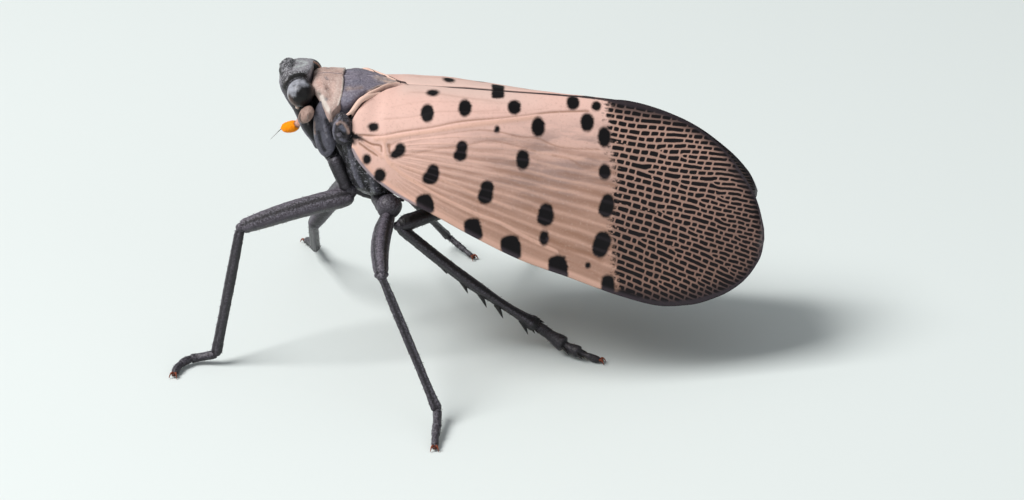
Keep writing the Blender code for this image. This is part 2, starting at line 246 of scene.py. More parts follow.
def makePiece(name, parts, finish, replaced=()):  # joins the parts into one shaded mesh
    start, faces = 0, []
    for part in parts:
        faces += [corners + start for corners in part["faces"]]
        start += len(part["points"])
    corners = np.concatenate([face.ravel() for face in faces])
    sizes = np.concatenate([np.full(len(face), face.shape[1]) for face in faces])
    mesh = bpy.data.meshes.new(name)
    mesh.vertices.add(start)
    mesh.vertices.foreach_set("co", toWorld(np.concatenate([part["points"] for part in parts])).ravel())
    mesh.loops.add(len(corners))
    mesh.loops.foreach_set("vertex_index", corners)
    mesh.polygons.add(len(sizes))
    mesh.polygons.foreach_set("loop_start", np.concatenate([[0], np.cumsum(sizes)[:-1]]))
    for key in sorted(parts[0].keys() - {"points", "faces"}):
        values = np.concatenate([part[key] for part in parts])
        layer = mesh.attributes.new(key, "FLOAT_VECTOR", "POINT")
        layer.data.foreach_set("vector", values.astype(np.float32).ravel())
    mesh.update(calc_edges=True)
    mesh.validate()
    mesh.shade_smooth()
    mesh.materials.append(finish)
    made = bpy.data.objects.new(name, mesh)
    bpy.context.scene.collection.objects.link(made)
    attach(made, "root")
    if replaced:
        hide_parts(*replaced)
    return made


class Wire:  # a socket; an expression on wires and numbers adds the Math nodes for it
    def __init__(self, board, socket):
        self.board, self.socket = board, socket

    def maths(self, operation, *others):
        return self.board.node("ShaderNodeMath", {"operation": operation}, dict(enumerate((self, *others))))

    def reflected(self, operation, other):
        return self.board.node("ShaderNodeMath", {"operation": operation}, {0: other, 1: self})

    def __add__(self, other):
        return self.maths("ADD", other)

    def __sub__(self, other):
        return self.maths("SUBTRACT", other)

    def __mul__(self, other):
        return self.maths("MULTIPLY", other)

    def __truediv__(self, other):
        return self.maths("DIVIDE", other)

    def __rsub__(self, other):
        return self.reflected("SUBTRACT", other)

    def __rtruediv__(self, other):
        return self.reflected("DIVIDE", other)

    __radd__, __rmul__ = __add__, __mul__


class Board:  # the node tree of one material
    def __init__(self, owner):  # a new material's name, or the world
        self.material = bpy.data.materials.new(owner) if isinstance(owner, str) else owner
        self.material.use_nodes = True
        self.tree = self.material.node_tree
        self.tree.nodes.clear()

    def node(self, kind, settings=(), sockets=(), output=0):  # type, settings, then socket values or links
        made = self.tree.nodes.new(kind)
        for name, value in dict(settings).items():
            setattr(made, name, value)
        for name, value in dict(sockets).items():
            if isinstance(value, Wire):
                self.tree.links.new(value.socket, made.inputs[name])
            else:
                made.inputs[name].default_value = value
        return Wire(self, made.outputs[output])

    def attribute(self, name):
        return self.node("ShaderNodeAttribute", {"attribute_name": name}, output="Vector")

    def split(self, vector):
        made = self.node("ShaderNodeSeparateXYZ", (), {0: vector})
        return [Wire(self, socket) for socket in made.socket.node.outputs]

    def place(self):  # object coordinates in millimetres
        where = self.node("ShaderNodeTexCoord", output="Object")
        return self.vector("SCALE", where, Scale=1000.0)

    def vector(self, operation, first, second=None, output=0, **sockets):
        values = {0: first, **sockets}
        if second is not None:
            values[1] = second
        return self.node("ShaderNodeVectorMath", {"operation": operation}, values, output)

    def noise(self, where, scale, detail=3.0, roughness=0.55):
        sockets = {"Vector": where, "Scale": scale, "Detail": detail, "Roughness": roughness}
        return self.node("ShaderNodeTexNoise", (), sockets, "Fac")

    def chance(self, *numbers):  # a random share fixed by one to three whole numbers
        where = self.node("ShaderNodeCombineXYZ", (), dict(enumerate(numbers)))
        return self.node("ShaderNodeTexWhiteNoise", {"noise_dimensions": "3D"}, {"Vector": where})

    def step(self, value, low, high):  # 0 at low, 1 at high, eased between
        sockets = {"Value": value, "From Min": low, "From Max": high}
        return self.node("ShaderNodeMapRange", {"interpolation_type": "SMOOTHSTEP"}, sockets)

    def colour(self, value):
        return value if isinstance(value, Wire) else (*value, 1.0)

    def mix(self, first, second, share, kind="MIX"):  # from the first colour to the second
        sockets = {"Factor": share, 6: self.colour(first), 7: self.colour(second)}
        return self.node("ShaderNodeMix", {"data_type": "RGBA", "blend_type": kind}, sockets, 2)

    def layered(self, colour, tints, layers):  # lays tints over a colour, each by its own share
        for tint, share in layers:
            colour = self.mix(colour, tints[tint], share)
        return colour

    def raised(self, height, distance):  # distance is how far a height of 1 stands out, in mm
        return self.node("ShaderNodeBump", (), {"Height": height, "Distance": distance * 0.001})

    def surface(self, colour, **sockets):
        named = {key.replace("_", " "): value for key, value in sockets.items()}
        values = {"Base Color": self.colour(colour), **named}
        shader = self.node("ShaderNodeBsdfPrincipled", (), values)
        self.tree.links.new(shader.socket, self.tree.nodes.new("ShaderNodeOutputMaterial").inputs["Surface"])
        return self.material


studio = {
    "target": (2.25, 0.0, 4.86), "distance": 160.0, "elevation": 25.0,
    "lens": 112.5, "sensor": 36.0, "clip": (0.01, 10.0),
    "lamps": {
        "key": {"at": (-230, -90, 330), "size": 200, "power": 1.85, "colour": (1.0, 0.985, 0.965)},
        "fill": {"at": (240, -260, 120), "size": 260, "power": 0.16, "colour": (0.93, 0.96, 1.0)},
    },
    "zenith": (0.34, 0.352, 0.36), "horizon": (0.20, 0.21, 0.21), "skySteps": (-0.1, 0.9),
    "floor": paint(224, 231, 230), "floorShade": 0.97, "floorCloud": 0.02, "floorRough": 0.7,
    "floorSize": 1600.0,
}


def makeStudio(look):
    # a camera straight before the wing, two square lamps, a sky that brightens upwards and a plain floor
    scene = bpy.context.scene
    scene.view_settings.view_transform = "Standard"
    camera = bpy.data.objects.new("camera", bpy.data.cameras.new("camera"))
    tilt = math.radians(look["elevation"])
    back = np.array([0.0, -math.cos(tilt), math.sin(tilt)]) * look["distance"]
    camera.location = toWorld(np.add(look["target"], back))
    camera.rotation_euler = (math.pi / 2 - tilt, 0, 0)
    camera.data.lens, camera.data.sensor_width = look["lens"], look["sensor"]
    camera.data.clip_start, camera.data.clip_end = look["clip"]
    scene.collection.objects.link(camera)
    scene.camera = camera
    for name, light in look["lamps"].items():
        lamp = bpy.data.lights.new(name, "AREA")
        lamp.energy, lamp.size, lamp.color = light["power"], light["size"] * 0.001, light["colour"]
        holder = bpy.data.objects.new(name, lamp)
        holder.location = toWorld(light["at"])
        aim = Vector(toWorld(look["target"])) - holder.location
        holder.rotation_euler = aim.to_track_quat("-Z", "Y").to_euler()
        scene.collection.objects.link(holder)
    world = bpy.data.worlds.new("sky")
    world.use_nodes = True
    scene.world = world
    board = Board(world)
    up = board.split(board.node("ShaderNodeTexCoord", output="Generated"))[2]
    glow = board.mix(look["horizon"], look["zenith"], board.step(up, *look["skySteps"]))
    sky = board.node("ShaderNodeBackground", (), {"Color": glow})
    board.tree.links.new(sky.socket, board.tree.nodes.new("ShaderNodeOutputWorld").inputs["Surface"])
    board = Board("floor")
    cloud = board.noise(board.place(), look["floorCloud"], 2)
    pale = board.mix(look["floor"], look["floor"] * look["floorShade"], cloud)
    finish = board.surface(pale, Roughness=look["floorRough"])
    half = look["floorSize"] / 2
    mesh = bpy.data.meshes.new("floor")
    corners = [(-half, -half, 0), (half, -half, 0), (half, half, 0), (-half, half, 0)]
    mesh.from_pydata(toWorld(corners).tolist(), [], [(0, 1, 2, 3)])
    mesh.materials.append(finish)
    floor = bpy.data.objects.new("floor", mesh)
    scene.collection.objects.link(floor)


makeStudio(studio)
print("studio made")


wing = {
    # margins: X, |Y|, Z; the inner one runs beside the scutellum and along the back
    "inner": [
        (-5.46, 2.16, 13.26), (-5.20, 1.90, 13.60), (-4.60, 1.25, 13.92), (-3.90, 0.50, 13.92),
        (-3.20, 0.06, 13.82), (0.00, 0.03, 13.62), (3.00, 0.03, 13.38), (6.60, 0.03, 13.10),
        (8.60, 0.03, 12.76), (10.60, 0.04, 11.98), (11.65, 0.10, 11.33), (12.65, 0.24, 10.48),
        (13.20, 0.50, 9.88), (13.65, 0.80, 9.28), (14.15, 1.12, 8.49), (14.45, 1.52, 7.74),
        (14.62, 2.30, 7.10),
    ],
    "outer": [
        (-5.46, 3.05, 11.60), (-5.20, 3.34, 11.20), (-4.60, 3.72, 10.58), (-3.90, 4.05, 10.10),
        (-3.20, 4.32, 9.70), (-1.75, 4.72, 9.05), (0.45, 5.03, 7.86), (2.65, 5.13, 6.72),
        (5.05, 5.08, 5.74), (7.50, 4.90, 4.68), (9.50, 4.60, 3.99), (11.00, 4.30, 3.91),
        (12.00, 4.05, 4.08), (12.90, 3.80, 4.40), (13.70, 3.48, 4.92), (14.20, 3.18, 5.50),
        (14.50, 2.94, 6.10), (14.62, 2.66, 6.70),
    ],
    # X, how far the section holds the direction in which it leaves the inner margin, and its slope there
    "crest": [
        (-5.46, 0.8, 35), (-4.60, 1.6, 20), (-3.20, 3.0, -6), (-1.50, 3.1, -7), (0.00, 3.1, -3),
        (2.00, 2.8, 1), (4.00, 2.0, 8), (6.60, 1.8, 26), (9.00, 1.6, 44), (12.00, 1.2, 58),
        (14.70, 0.6, 62),
    ],
    "foot": 66.0, "pull": 0.45,  # slope at the outer margin, and the handles' share of the fall
    "tilt": 25.0,  # the plan is the view from this far above level
    "thickness": 0.10, "stations": 268, "points": 124, "crowding": 1.15,
    "evenFrom": 14.2,  # from this X to the tip the skin's direction stays the same
    # rolled rim beside the scutellum: X and its width, how high it rises, and the groove behind it
    "rim": [(-5.46, 0.27), (-4.60, 0.27), (-3.90, 0.21), (-3.40, 0.13), (-3.10, 0.02), (14.62, 0.0)],
    "rimRise": 0.14, "grooveDepth": 0.12, "grooveWidth": 0.07,
    "rimRoot": 0.32,  # how far the rolled rim reaches forward to the body
    "rootRows": (16, 6, 0),  # rows of the skin's grid that the rim's root follows
    "rootRadii": [(0, 0.08), (0.4, 0.14), (0.8, 0.11), (1, 0.04)],  # share of its length and radius
    "stripAt": 1.12, "stripWidth": 0.10, "stripRise": 0.012,  # a raised strip along the back
    "seamDip": 0.05, "seamWidth": 0.25,  # each wing dips into the seam between them
    "seamClear": (0.015, 0.012),  # how near the skin and its underside come to the median plane
    "costalRise": 0.05, "costalAt": 0.10, "costalWidth": 0.12,  # thickened costal margin
    "lumps": [(1.3, 0.02, 3), (0.45, 0.010, 4)],  # size, height and seed
    "calmWidth": 0.35, "marginShare": 0.35,  # how far in the margins stay even, and their share of thickness
    # stretches of X over which these come in or fade out
    "grooveOut": (-3.6, -3.0), "rimOut": (-3.5, -3.1), "stripIn": (-3.2, -2.4), "stripOut": (4.5, 6.0),
    "seamIn": (-3.2, -2.8), "costalOut": (4.0, 7.0), "calmIn": (5.0, 7.0), "backCalmIn": (6.0, 8.0),
    # dark border, X and width on the plan, along the back and along the costal margin
    "backBorder": [(3.0, 0.01), (4.0, 0.04), (5.6, 0.07), (6.8, 0.13), (7.4, 0.20), (8.0, 0.25), (9.2, 0.21),
                   (10.5, 0.15), (11.5, 0.12), (12.5, 0.10), (13.4, 0.08), (14.62, 0.08)],
    "costalBorder": [(6.3, 0.001), (7.0, 0.08), (7.8, 0.17), (9.0, 0.22), (11.0, 0.25), (12.5, 0.20),
                     (13.4, 0.13), (14.3, 0.09), (14.62, 0.08)],
    # the fan of bands lies between these two lines of the plan
    "fanTop": [(-5.5, 9.3), (-4.05, 9.48), (-1.3, 9.82), (1.66, 9.87), (4.6, 9.48), (6.6, 9.23), (8.0, 9.1)],
    "fanFoot": [(-5.5, 9.2), (-4.05, 9.0), (-3.27, 8.1), (-2.28, 7.5), (-1.3, 7.01), (0.67, 6.13), (6.6, 3.8),
                (8.0, 3.3)],
    # where the net begins: height on the plan and X
    "netStart": [(-1.0, 7.6), (2.4, 7.25), (5.0, 6.85), (7.9, 7.15), (10.0, 6.8), (12.5, 6.6)],
}

# veins of the basal part on the wing's plan, X and height: path, half width, rise, shade
wingVeins = [
    ([(-5.1, 9.95), (-4.1, 9.9), (-3.1, 10.1), (-1.7, 10.3), (-0.3, 10.6), (1.7, 10.8), (2.6, 10.9),
      (4.1, 11.1), (6.0, 11.2)], 0.06, -0.05, 0.85),
    ([(-3.9, 10.7), (-2.7, 10.8), (-1.2, 11.1), (0.2, 11.1), (1.7, 11.2)], 0.06, -0.02, 0.35),
    ([(-3.6, 11.3), (-1.8, 11.6), (0.4, 11.55), (2.6, 11.5)], 0.06, -0.01, 0.25),
    ([(0.6, 11.0), (2.4, 11.1), (4.0, 11.3)], 0.05, -0.01, 0.3),
    ([(-3.7, 9.4), (-3.1, 9.7), (-1.7, 9.9), (-0.3, 10.1), (0.7, 10.2), (1.7, 10.1), (2.6, 9.9), (3.6, 9.8),
      (4.0, 9.6), (4.6, 9.4), (6.5, 9.3)], 0.06, -0.03, 0.6),
    ([(-3.1, 8.9), (-1.7, 9.2), (0.2, 9.5), (1.2, 9.7), (2.2, 9.5), (3.4, 9.2)], 0.06, -0.03, 0.55),
    ([(4.2, 9.0), (5.1, 8.8), (5.6, 8.5), (6.1, 8.4)], 0.07, -0.02, 0.5),
    ([(-5.0, 9.75), (-4.5, 9.5), (-4.05, 9.4), (-4.0, 9.15)], 0.06, -0.05, 1.0),
    ([(-5.1, 9.55), (-4.7, 9.25), (-4.25, 8.95)], 0.06, -0.04, 0.9),
    ([(-3.72, 9.5), (-3.66, 9.1)], 0.07, -0.04, 1.0),
    ([(4.0, 4.9), (4.9, 4.5), (6.0, 4.2), (6.6, 3.9)], 0.14, -0.02, 0.8),
    ([(4.6, 4.0), (5.6, 3.6), (6.6, 3.1)], 0.10, -0.02, 0.6),
    ([(-4.3, 9.75), (-3.1, 9.88), (-1.7, 10.1), (0.2, 10.4), (1.7, 10.62), (3.4, 10.85)], 0.13, 0.05, -0.8),
    ([(-3.86, 9.6), (-3.84, 9.1), (-3.7, 8.65), (-3.2, 8.2), (-2.3, 7.6), (-1.3, 7.0), (-0.3, 6.5),
      (0.7, 6.05), (1.7, 5.7), (2.6, 5.2), (3.6, 4.7), (4.4, 4.35)], 0.08, 0.05, -0.9),
    ([(-3.5, 8.6), (-2.2, 8.15), (-0.7, 7.6), (0.7, 7.0), (2.2, 6.4)], 0.08, 0.03, -0.5),
    ([(-4.9, 9.6), (-4.4, 9.25), (-4.0, 8.85)], 0.06, 0.05, -0.8),
    ([(-5.4, 9.0), (-4.8, 8.3), (-3.9, 7.5), (-3.1, 6.95), (-1.9, 6.4)], 0.10, 0.05, -0.5),
]


def wingSections(look, x, t):
    # upright sections: a Bezier curve that leaves the inner margin at the crest slope and reaches the outer
    # one at the foot slope, its handles a share of the fall between them
    inner, outer = through(look["inner"], x), through(look["outer"], x)
    flat, slope = through(look["crest"], x).T[:, :, None]
    fall = np.linalg.norm(outer - inner, axis=1)[:, None]
    steep, foot = np.radians(slope), math.radians(look["foot"])
    reach = np.minimum(flat, look["pull"] * fall)
    leave = inner + reach * np.concatenate([np.cos(steep), -np.sin(steep)], 1)
    arrive = outer - look["pull"] * fall * np.array([math.cos(foot), -math.sin(foot)])
    t = t[None, :, None]
    ends = [end[:, None] for end in (inner, leave, arrive, outer)]
    shares = [(1 - t) ** 3, 3 * t * (1 - t) ** 2, 3 * t**2 * (1 - t), t**3]
    curve = sum(share * end for share, end in zip(shares, ends))
    return np.concatenate([np.broadcast_to(x[:, None, None], curve.shape[:2] + (1,)), curve], 2)


def upwardNormals(grid):  # a grid's normals, from its steps along and across, on its upper side
    normal = units(np.cross(np.gradient(grid, axis=0), np.gradient(grid, axis=1)))
    return normal if normal[..., 2].mean() >= 0 else -normal


def sheetPart(face, back, keep):  # a thin closed sheet of two grids; keep names attributes given on the grid
    rows, columns = face.shape[:2]
    count = rows * columns
    quads = gridFaces(rows, columns, False)
    edge = np.concatenate([np.arange(columns - 1), np.arange(rows - 1) * columns + columns - 1,
                           count - 1 - np.arange(columns - 1), (rows - 1 - np.arange(rows - 1)) * columns])
    following = np.roll(edge, -1)
    rim = np.stack([edge, edge + count, following + count, following], 1)
    part = {"points": np.concatenate([face.reshape(-1, 3), back.reshape(-1, 3)]),
            "faces": [quads, quads[:, ::-1] + count, rim]}
    for key, values in keep.items():
        part[key] = np.concatenate([values.reshape(-1, 3)] * 2)
    return outward(part)


def atEach(stations, values):  # a table's second column at every value of a grid
    return through(stations, values.ravel()).reshape(values.shape)


def veinRelief(plan, veins):  # how far the veins rise and how much they darken, at every point of the plan
    rise, shade = np.zeros(plan.shape[:2]), np.zeros(plan.shape[:2])
    for path, width, height, dark in veins:
        path = bent(np.pad(np.array(path, float), ((0, 0), (0, 1))), 4 * len(path))[:, :2]
        distance = away(plan, path)
        rise += height * bump(distance, width)
        shade += dark * bump(distance, width * 1.1)
    return rise, shade


def forewingPart(look, veins):
    # the sections as a grid, moved along its normals by the veins, rim, strip, margins and lumps; the
    # underside is the same grid a thickness lower. Also gives the path of the rim's root
    first, last = look["inner"][0][0], look["inner"][-1][0]
    quarter = np.linspace(0, 0.5 * math.pi, look["stations"])
    x = first + (last - first) * np.sin(quarter) ** look["crowding"]
    grid = wingSections(look, x, np.linspace(0, 1, look["points"]))
    tilt = math.radians(look["tilt"])
    u, v = grid[..., 0], grid[..., 2] * math.cos(tilt) - grid[..., 1] * math.sin(tilt)
    plan = np.stack([u, v], 2)
    steps = np.linalg.norm(np.diff(grid, axis=1), axis=2)
    inner = np.concatenate([np.zeros((len(x), 1)), np.cumsum(steps, axis=1)], 1)  # from the inner margin
    outline = np.concatenate([plan[:, -1], plan[::-1, 0][:60]])  # costal margin, then round the tip
    edge, back = away(plan, outline[::4]), away(plan, plan[::6, 0])
    border = np.minimum(back / atEach(look["backBorder"], u), edge / atEach(look["costalBorder"], u))
    top, foot = atEach(look["fanTop"], u), atEach(look["fanFoot"], u)
    # relief
    rise, shade = veinRelief(plan, veins)
    rimWidth = through(look["rim"], x)
    # the groove behind the rim: it dips the skin, and the wing's colour is painted with shade along it
    groove = bump(inner - rimWidth - look["grooveWidth"], look["grooveWidth"]) * fade(u, *look["grooveOut"])
    overRim = (inner - rimWidth / 2) / (rimWidth / 2 + 0.02)
    rise += look["rimRise"] * np.sqrt(np.clip(1 - overRim**2, 0, 1)) - look["grooveDepth"] * groove
    strip = (bump(inner - look["stripAt"], look["stripWidth"]) * ramp(u, *look["stripIn"])
             * fade(u, *look["stripOut"]))
    rise += look["stripRise"] * strip
    rise -= look["seamDip"] * ramp(look["seamWidth"] - inner, 0, look["seamWidth"]) * ramp(u, *look["seamIn"])
    costal = bump(edge - look["costalAt"], look["costalWidth"])
    rise += look["costalRise"] * costal * fade(u, *look["costalOut"])
    for size, height, seed in look["lumps"]:
        rise += height * grain(grid, size, seed)
    calm = ramp(np.minimum(edge, back + 1 - ramp(u, *look["backCalmIn"])), 0.0, look["calmWidth"])
    rise *= 1 - (1 - calm) * ramp(u, *look["calmIn"])
    # skin and underside
    outwards = upwardNormals(grid)
    even = np.searchsorted(x, look["evenFrom"])
    outwards[even:] = outwards[even]
    face = grid + rise[..., None] * outwards
    face[..., 1] = np.maximum(face[..., 1], look["seamClear"][0])
    thickness = look["thickness"] * (look["marginShare"] + (1 - look["marginShare"]) * calm)
    under = face - thickness[..., None] * outwards
    under[..., 1] = np.maximum(under[..., 1], look["seamClear"][1])
    root = face[list(look["rootRows"]), np.argmin(np.abs(inner[0] - 0.5 * rimWidth[0]))]
    ahead = unit(root[2] - root[0])
    onRim = ramp(rimWidth - inner, -0.02, 0.06) * fade(u, *look["rimOut"])
    keep = {
        "plan": np.stack([u, v, inner], 2),
        "form": np.stack([u - np.interp(v, *zip(*look["netStart"])), edge, shade], 2),
        "seams": np.stack([groove, strip, onRim], 2),
        "border": np.stack([border, (v - foot) / (top - foot), np.zeros_like(u)], 2),
    }
    return sheetPart(face, under, keep), [*root, root[2] + look["rimRoot"] * ahead]


def rimRootPart(path, look):  # a short tapered tube that carries the rolled rim's colour
    radii = np.interp(np.linspace(0, 1, 20), *zip(*look["rootRadii"]))
    part = tube(bent(path, 20), radii, 20)
    values = {"plan": (-5.5, 12, 0.2), "form": (-5, 1, 0), "seams": (0, 0, 1), "border": (9, 0.5, 0)}
    for key, value in values.items():
        part[key] = np.tile(value, (len(part["points"]), 1))
    return part


# dark spots on the plan: X, height, half length, half height, turn in degrees
wingSpots = [
    (-1.84, 11.01, 0.30, 0.41, 0), (-0.03, 11.28, 0.29, 0.40, 0), (2.36, 11.34, 0.30, 0.34, 0),
    (-1.60, 12.03, 0.26, 0.16, 0), (1.53, 10.24, 0.11, 0.14, 0), (3.52, 10.37, 0.31, 0.44, 0),
    (5.22, 11.60, 0.30, 0.34, 0), (5.91, 10.62, 0.31, 0.43, 0), (6.36, 11.43, 0.20, 0.22, 0),
    (6.74, 9.90, 0.29, 0.47, 0), (-4.43, 10.33, 0.24, 0.19, 0), (-4.75, 8.78, 0.17, 0.22, 0),
    (-4.10, 8.01, 0.26, 0.30, 0), (-3.12, 9.26, 0.22, 0.27, 0), (-3.34, 9.02, 0.26, 0.17, 20),
    (-0.15, 9.38, 0.24, 0.27, 0), (-0.24, 8.96, 0.29, 0.25, 0), (-1.54, 8.16, 0.27, 0.34, 0),
    (-1.70, 7.86, 0.34, 0.28, 0), (1.06, 7.42, 0.30, 0.32, 0), (0.96, 6.98, 0.34, 0.34, 0),
    (2.78, 8.77, 0.30, 0.46, 0), (6.76, 8.21, 0.27, 0.36, 0), (6.90, 6.72, 0.30, 0.38, 0),
    (6.80, 6.36, 0.33, 0.36, 0), (3.90, 6.22, 0.33, 0.42, 0), (3.86, 5.92, 0.36, 0.32, 0),
    (3.81, 4.99, 0.21, 0.33, 0), (6.66, 4.86, 0.38, 0.42, 0), (6.52, 4.48, 0.36, 0.42, 0),
    (5.93, 3.66, 0.11, 0.12, 0), (-5.38, 9.92, 0.42, 0.11, -24), (-5.50, 9.72, 0.22, 0.10, -50),
]
joinedSpot = (1.57, 12.03, 0.32, 0.26, 0)  # lies across both wings
marginSpots = [
    (-1.93, 6.60, 0.36, 0.44, 15), (0.37, 5.38, 0.38, 0.50, 12), (2.20, 4.50, 0.44, 0.56, 8),
    (4.48, 3.48, 0.43, 0.60, 6), (6.91, 2.66, 0.28, 0.46, 0), (7.9, 2.15, 0.5, 0.16, -20),
]
wingLook = {
    "upper": paint(226, 187, 175), "lower": paint(175, 138, 121), "pale": paint(218, 196, 186),
    "rim": paint(228, 194, 178), "tan": paint(148, 110, 90), "ridge": paint(216, 174, 156),
    # the groove colour is painted shade, in the groove behind the rim and in the seam between the wings
    "mauve": paint(140, 120, 116), "steel": paint(116, 116, 130), "groove": paint(58, 38, 34),
    "spot": paint(4, 1, 3), "greySpot": paint(58, 50, 56), "cell": paint(13, 8, 11),
    "veinUpper": paint(180, 144, 130), "veinLower": paint(138, 108, 96),
    "margin": paint(44, 37, 42), "edge": paint(52, 46, 51),
    "bands": 9.0,  # pale ridges of the fan
    "rightShift": 0.75,  # the right wing's spots lie this much further back
    "relief": 0.045, "rough": 0.5, "gloss": 0.22,
    # softness, squareness and growth of the spots' edges
    "spotEdge": (0.08, 0.06, 0.03), "joinedEdge": (0.06, 0.6, 0.0), "marginEdge": (0.07, 0.45, 0.055),
}
net = {
    # rows to the millimetre, their fall and the X it is taken from; cells to the millimetre; height of a row;
    # half widths of the veins along and across
    "density": 3.7, "slope": 0.27, "middle": 11.0, "cells": 2.2, "pitch": 0.26, "vein": 0.036, "cross": 0.030,
    "along": (0.963, 0.27),  # direction of the rows on the plan
    "sway": (0.10, 0.14), "swayScale": 1.1,
    # share of cross veins missing; up and back towards the tip more are, and the rows lie closer
    "missing": 0.10, "tipMissing": 0.5, "tipPitch": 0.04, "tipUp": (6.4, 7.4), "tipBack": (11.8, 12.6),
    "rounding": 0.10,
    # where one row becomes two, on the plan
    "forks": [(8.55, 5.03), (8.9, 8.2), (9.39, 3.01), (9.6, 6.4), (9.51, 9.32), (10.2, 4.4), (10.41, 7.62),
              (10.9, 5.6), (11.36, 3.05), (11.5, 6.9), (12.06, 4.25), (12.49, 5.91), (12.82, 3.51),
              (13.3, 5.0), (10.61, 8.89), (12.15, 7.7), (12.5, 7.1)],
    "forkSlope": [(2.5, 0.42), (9.5, 0.16)],  # height, and how steeply the rows fall there
    "followed": (0.25, 1.0, 2.2), "rounds": 30,  # how far back a split vein is followed, and how often
}


def spotMask(board, where, spots, slide, soft, square, grow):
    # 1 inside the nearest of these ovals; soft is half the edge's width, square shares out between the round
    # and the boxy distance, and grow moves every edge outwards
    least = None
    for u, v, long, high, turn in spots:
        placed = board.node("ShaderNodeMapping", {"vector_type": "TEXTURE"}, {
            "Vector": where, "Location": (u + slide, v, 0), "Rotation": (0, 0, math.radians(turn)),
            "Scale": (long, high, 1)})
        distance = board.vector("LENGTH", placed, output="Value")
        x, y, _ = board.split(board.vector("ABSOLUTE", placed))
        distance = distance * (1 - square) + x.maths("SMOOTH_MAX", y, 0.25) * square
        distance = (distance - 1.0) * min(long, high)
        least = distance if least is None else least.maths("SMOOTH_MIN", distance, 0.28)
    return board.step(least, grow + soft, grow - soft)


def settledForks(look):
    # each fork's place, and the slope and curve of the vein that it splits, found by following that vein
    # backwards: it has to run midway between two rows
    forks = np.array([(u, v, np.interp(v, *zip(*look["forkSlope"])), 0.0) for u, v in look["forks"]])
    back = np.array(look["followed"])
    for _ in range(look["rounds"]):
        for fork in forks:
            u, v = fork[0] - back, fork[1] + fork[2] * back + fork[3] * back**2 + 1e-6
            right = u[:, None] - forks[:, 0]
            above = v[:, None] - (forks[:, 1] - forks[:, 2] * right + forks[:, 3] * right**2)
            angle = np.arctan2(above, right).sum(axis=1)
            row = -look["density"] * (v + look["slope"] * (u - look["middle"])) - angle / (2 * math.pi)
            found = np.polyfit(back, v + 0.5 * ((row - row[0]) + (row[0] % 1 - 0.5)) / look["density"], 2)
            fork[1:] = found[::-1]
    return forks


def netGap(board, u, v, look):
    # even sloping rows, counted downwards, less the angle seen from each fork as a share of a full turn: past
    # a fork there is one row more. Cross veins cut each row at places of its own. The gap is the distance to
    # the nearest vein
    sway = board.noise(board.attribute("plan"), look["swayScale"], 2) - 0.5
    u, v = u + sway * look["sway"][0], v + sway * look["sway"][1]
    row = 0.0 - (v + (u - look["middle"]) * look["slope"]) * look["density"]
    for x, height, slope, curve in settledForks(look):
        right = u - x
        above = v - height + right * (slope - right * curve)
        row = row - above.maths("ARCTAN2", right) * (0.5 / math.pi)
    number = (row + 0.5).maths("FLOOR")
    across = (row - number).maths("ABSOLUTE")
    tip = board.step(v, *look["tipUp"]) * board.step(u, *look["tipBack"])
    ahead, down = look["along"]
    along = (u * ahead - v * down) * look["cells"] + board.chance(number, 3.0) * 9.0
    cut = (along + 0.5).maths("FLOOR")
    near = (along - cut - (board.chance(cut, number, 5.0) - 0.5) * 0.5).maths("ABSOLUTE") / look["cells"]
    share = tip * look["tipMissing"]
    missing = board.step(board.chance(cut, number, 9.0), look["missing"] + share,
                         look["missing"] - 0.01 + share)
    rowGap = (0.5 - across) * (look["pitch"] - tip * look["tipPitch"]) - look["vein"]
    return rowGap.maths("SMOOTH_MIN", near - look["cross"] + missing, look["rounding"])


def fanBands(board, look):
    # dull bands and the pale ridges between them, at even shares of the way between the fan's two bounding
    # lines, uneven along their length
    u = board.split(board.attribute("plan"))[0]
    share = board.split(board.attribute("border"))[1]
    share = share + (board.noise(board.attribute("plan"), 0.5, 2) - 0.5) * 0.04
    phase = share * look["bands"]
    off = (phase - (phase + 0.5).maths("FLOOR")).maths("ABSOLUTE")
    drawn = board.node("ShaderNodeCombineXYZ", (), {0: u * 0.35, 1: phase})
    uneven = board.step(board.noise(drawn, 1.0, 3), 0.28, 0.64)
    lower = 1.0 - board.step(share, 0.02, -0.1) * 0.5
    inside = board.step(share, 1.04, 0.98) * board.step(u, -3.8, -2.2) * lower
    dull = board.step(off, 0.10, 0.40) * uneven * inside
    return dull, board.step(off, 0.24, 0.02) * (1.0 - uneven * 0.5) * inside


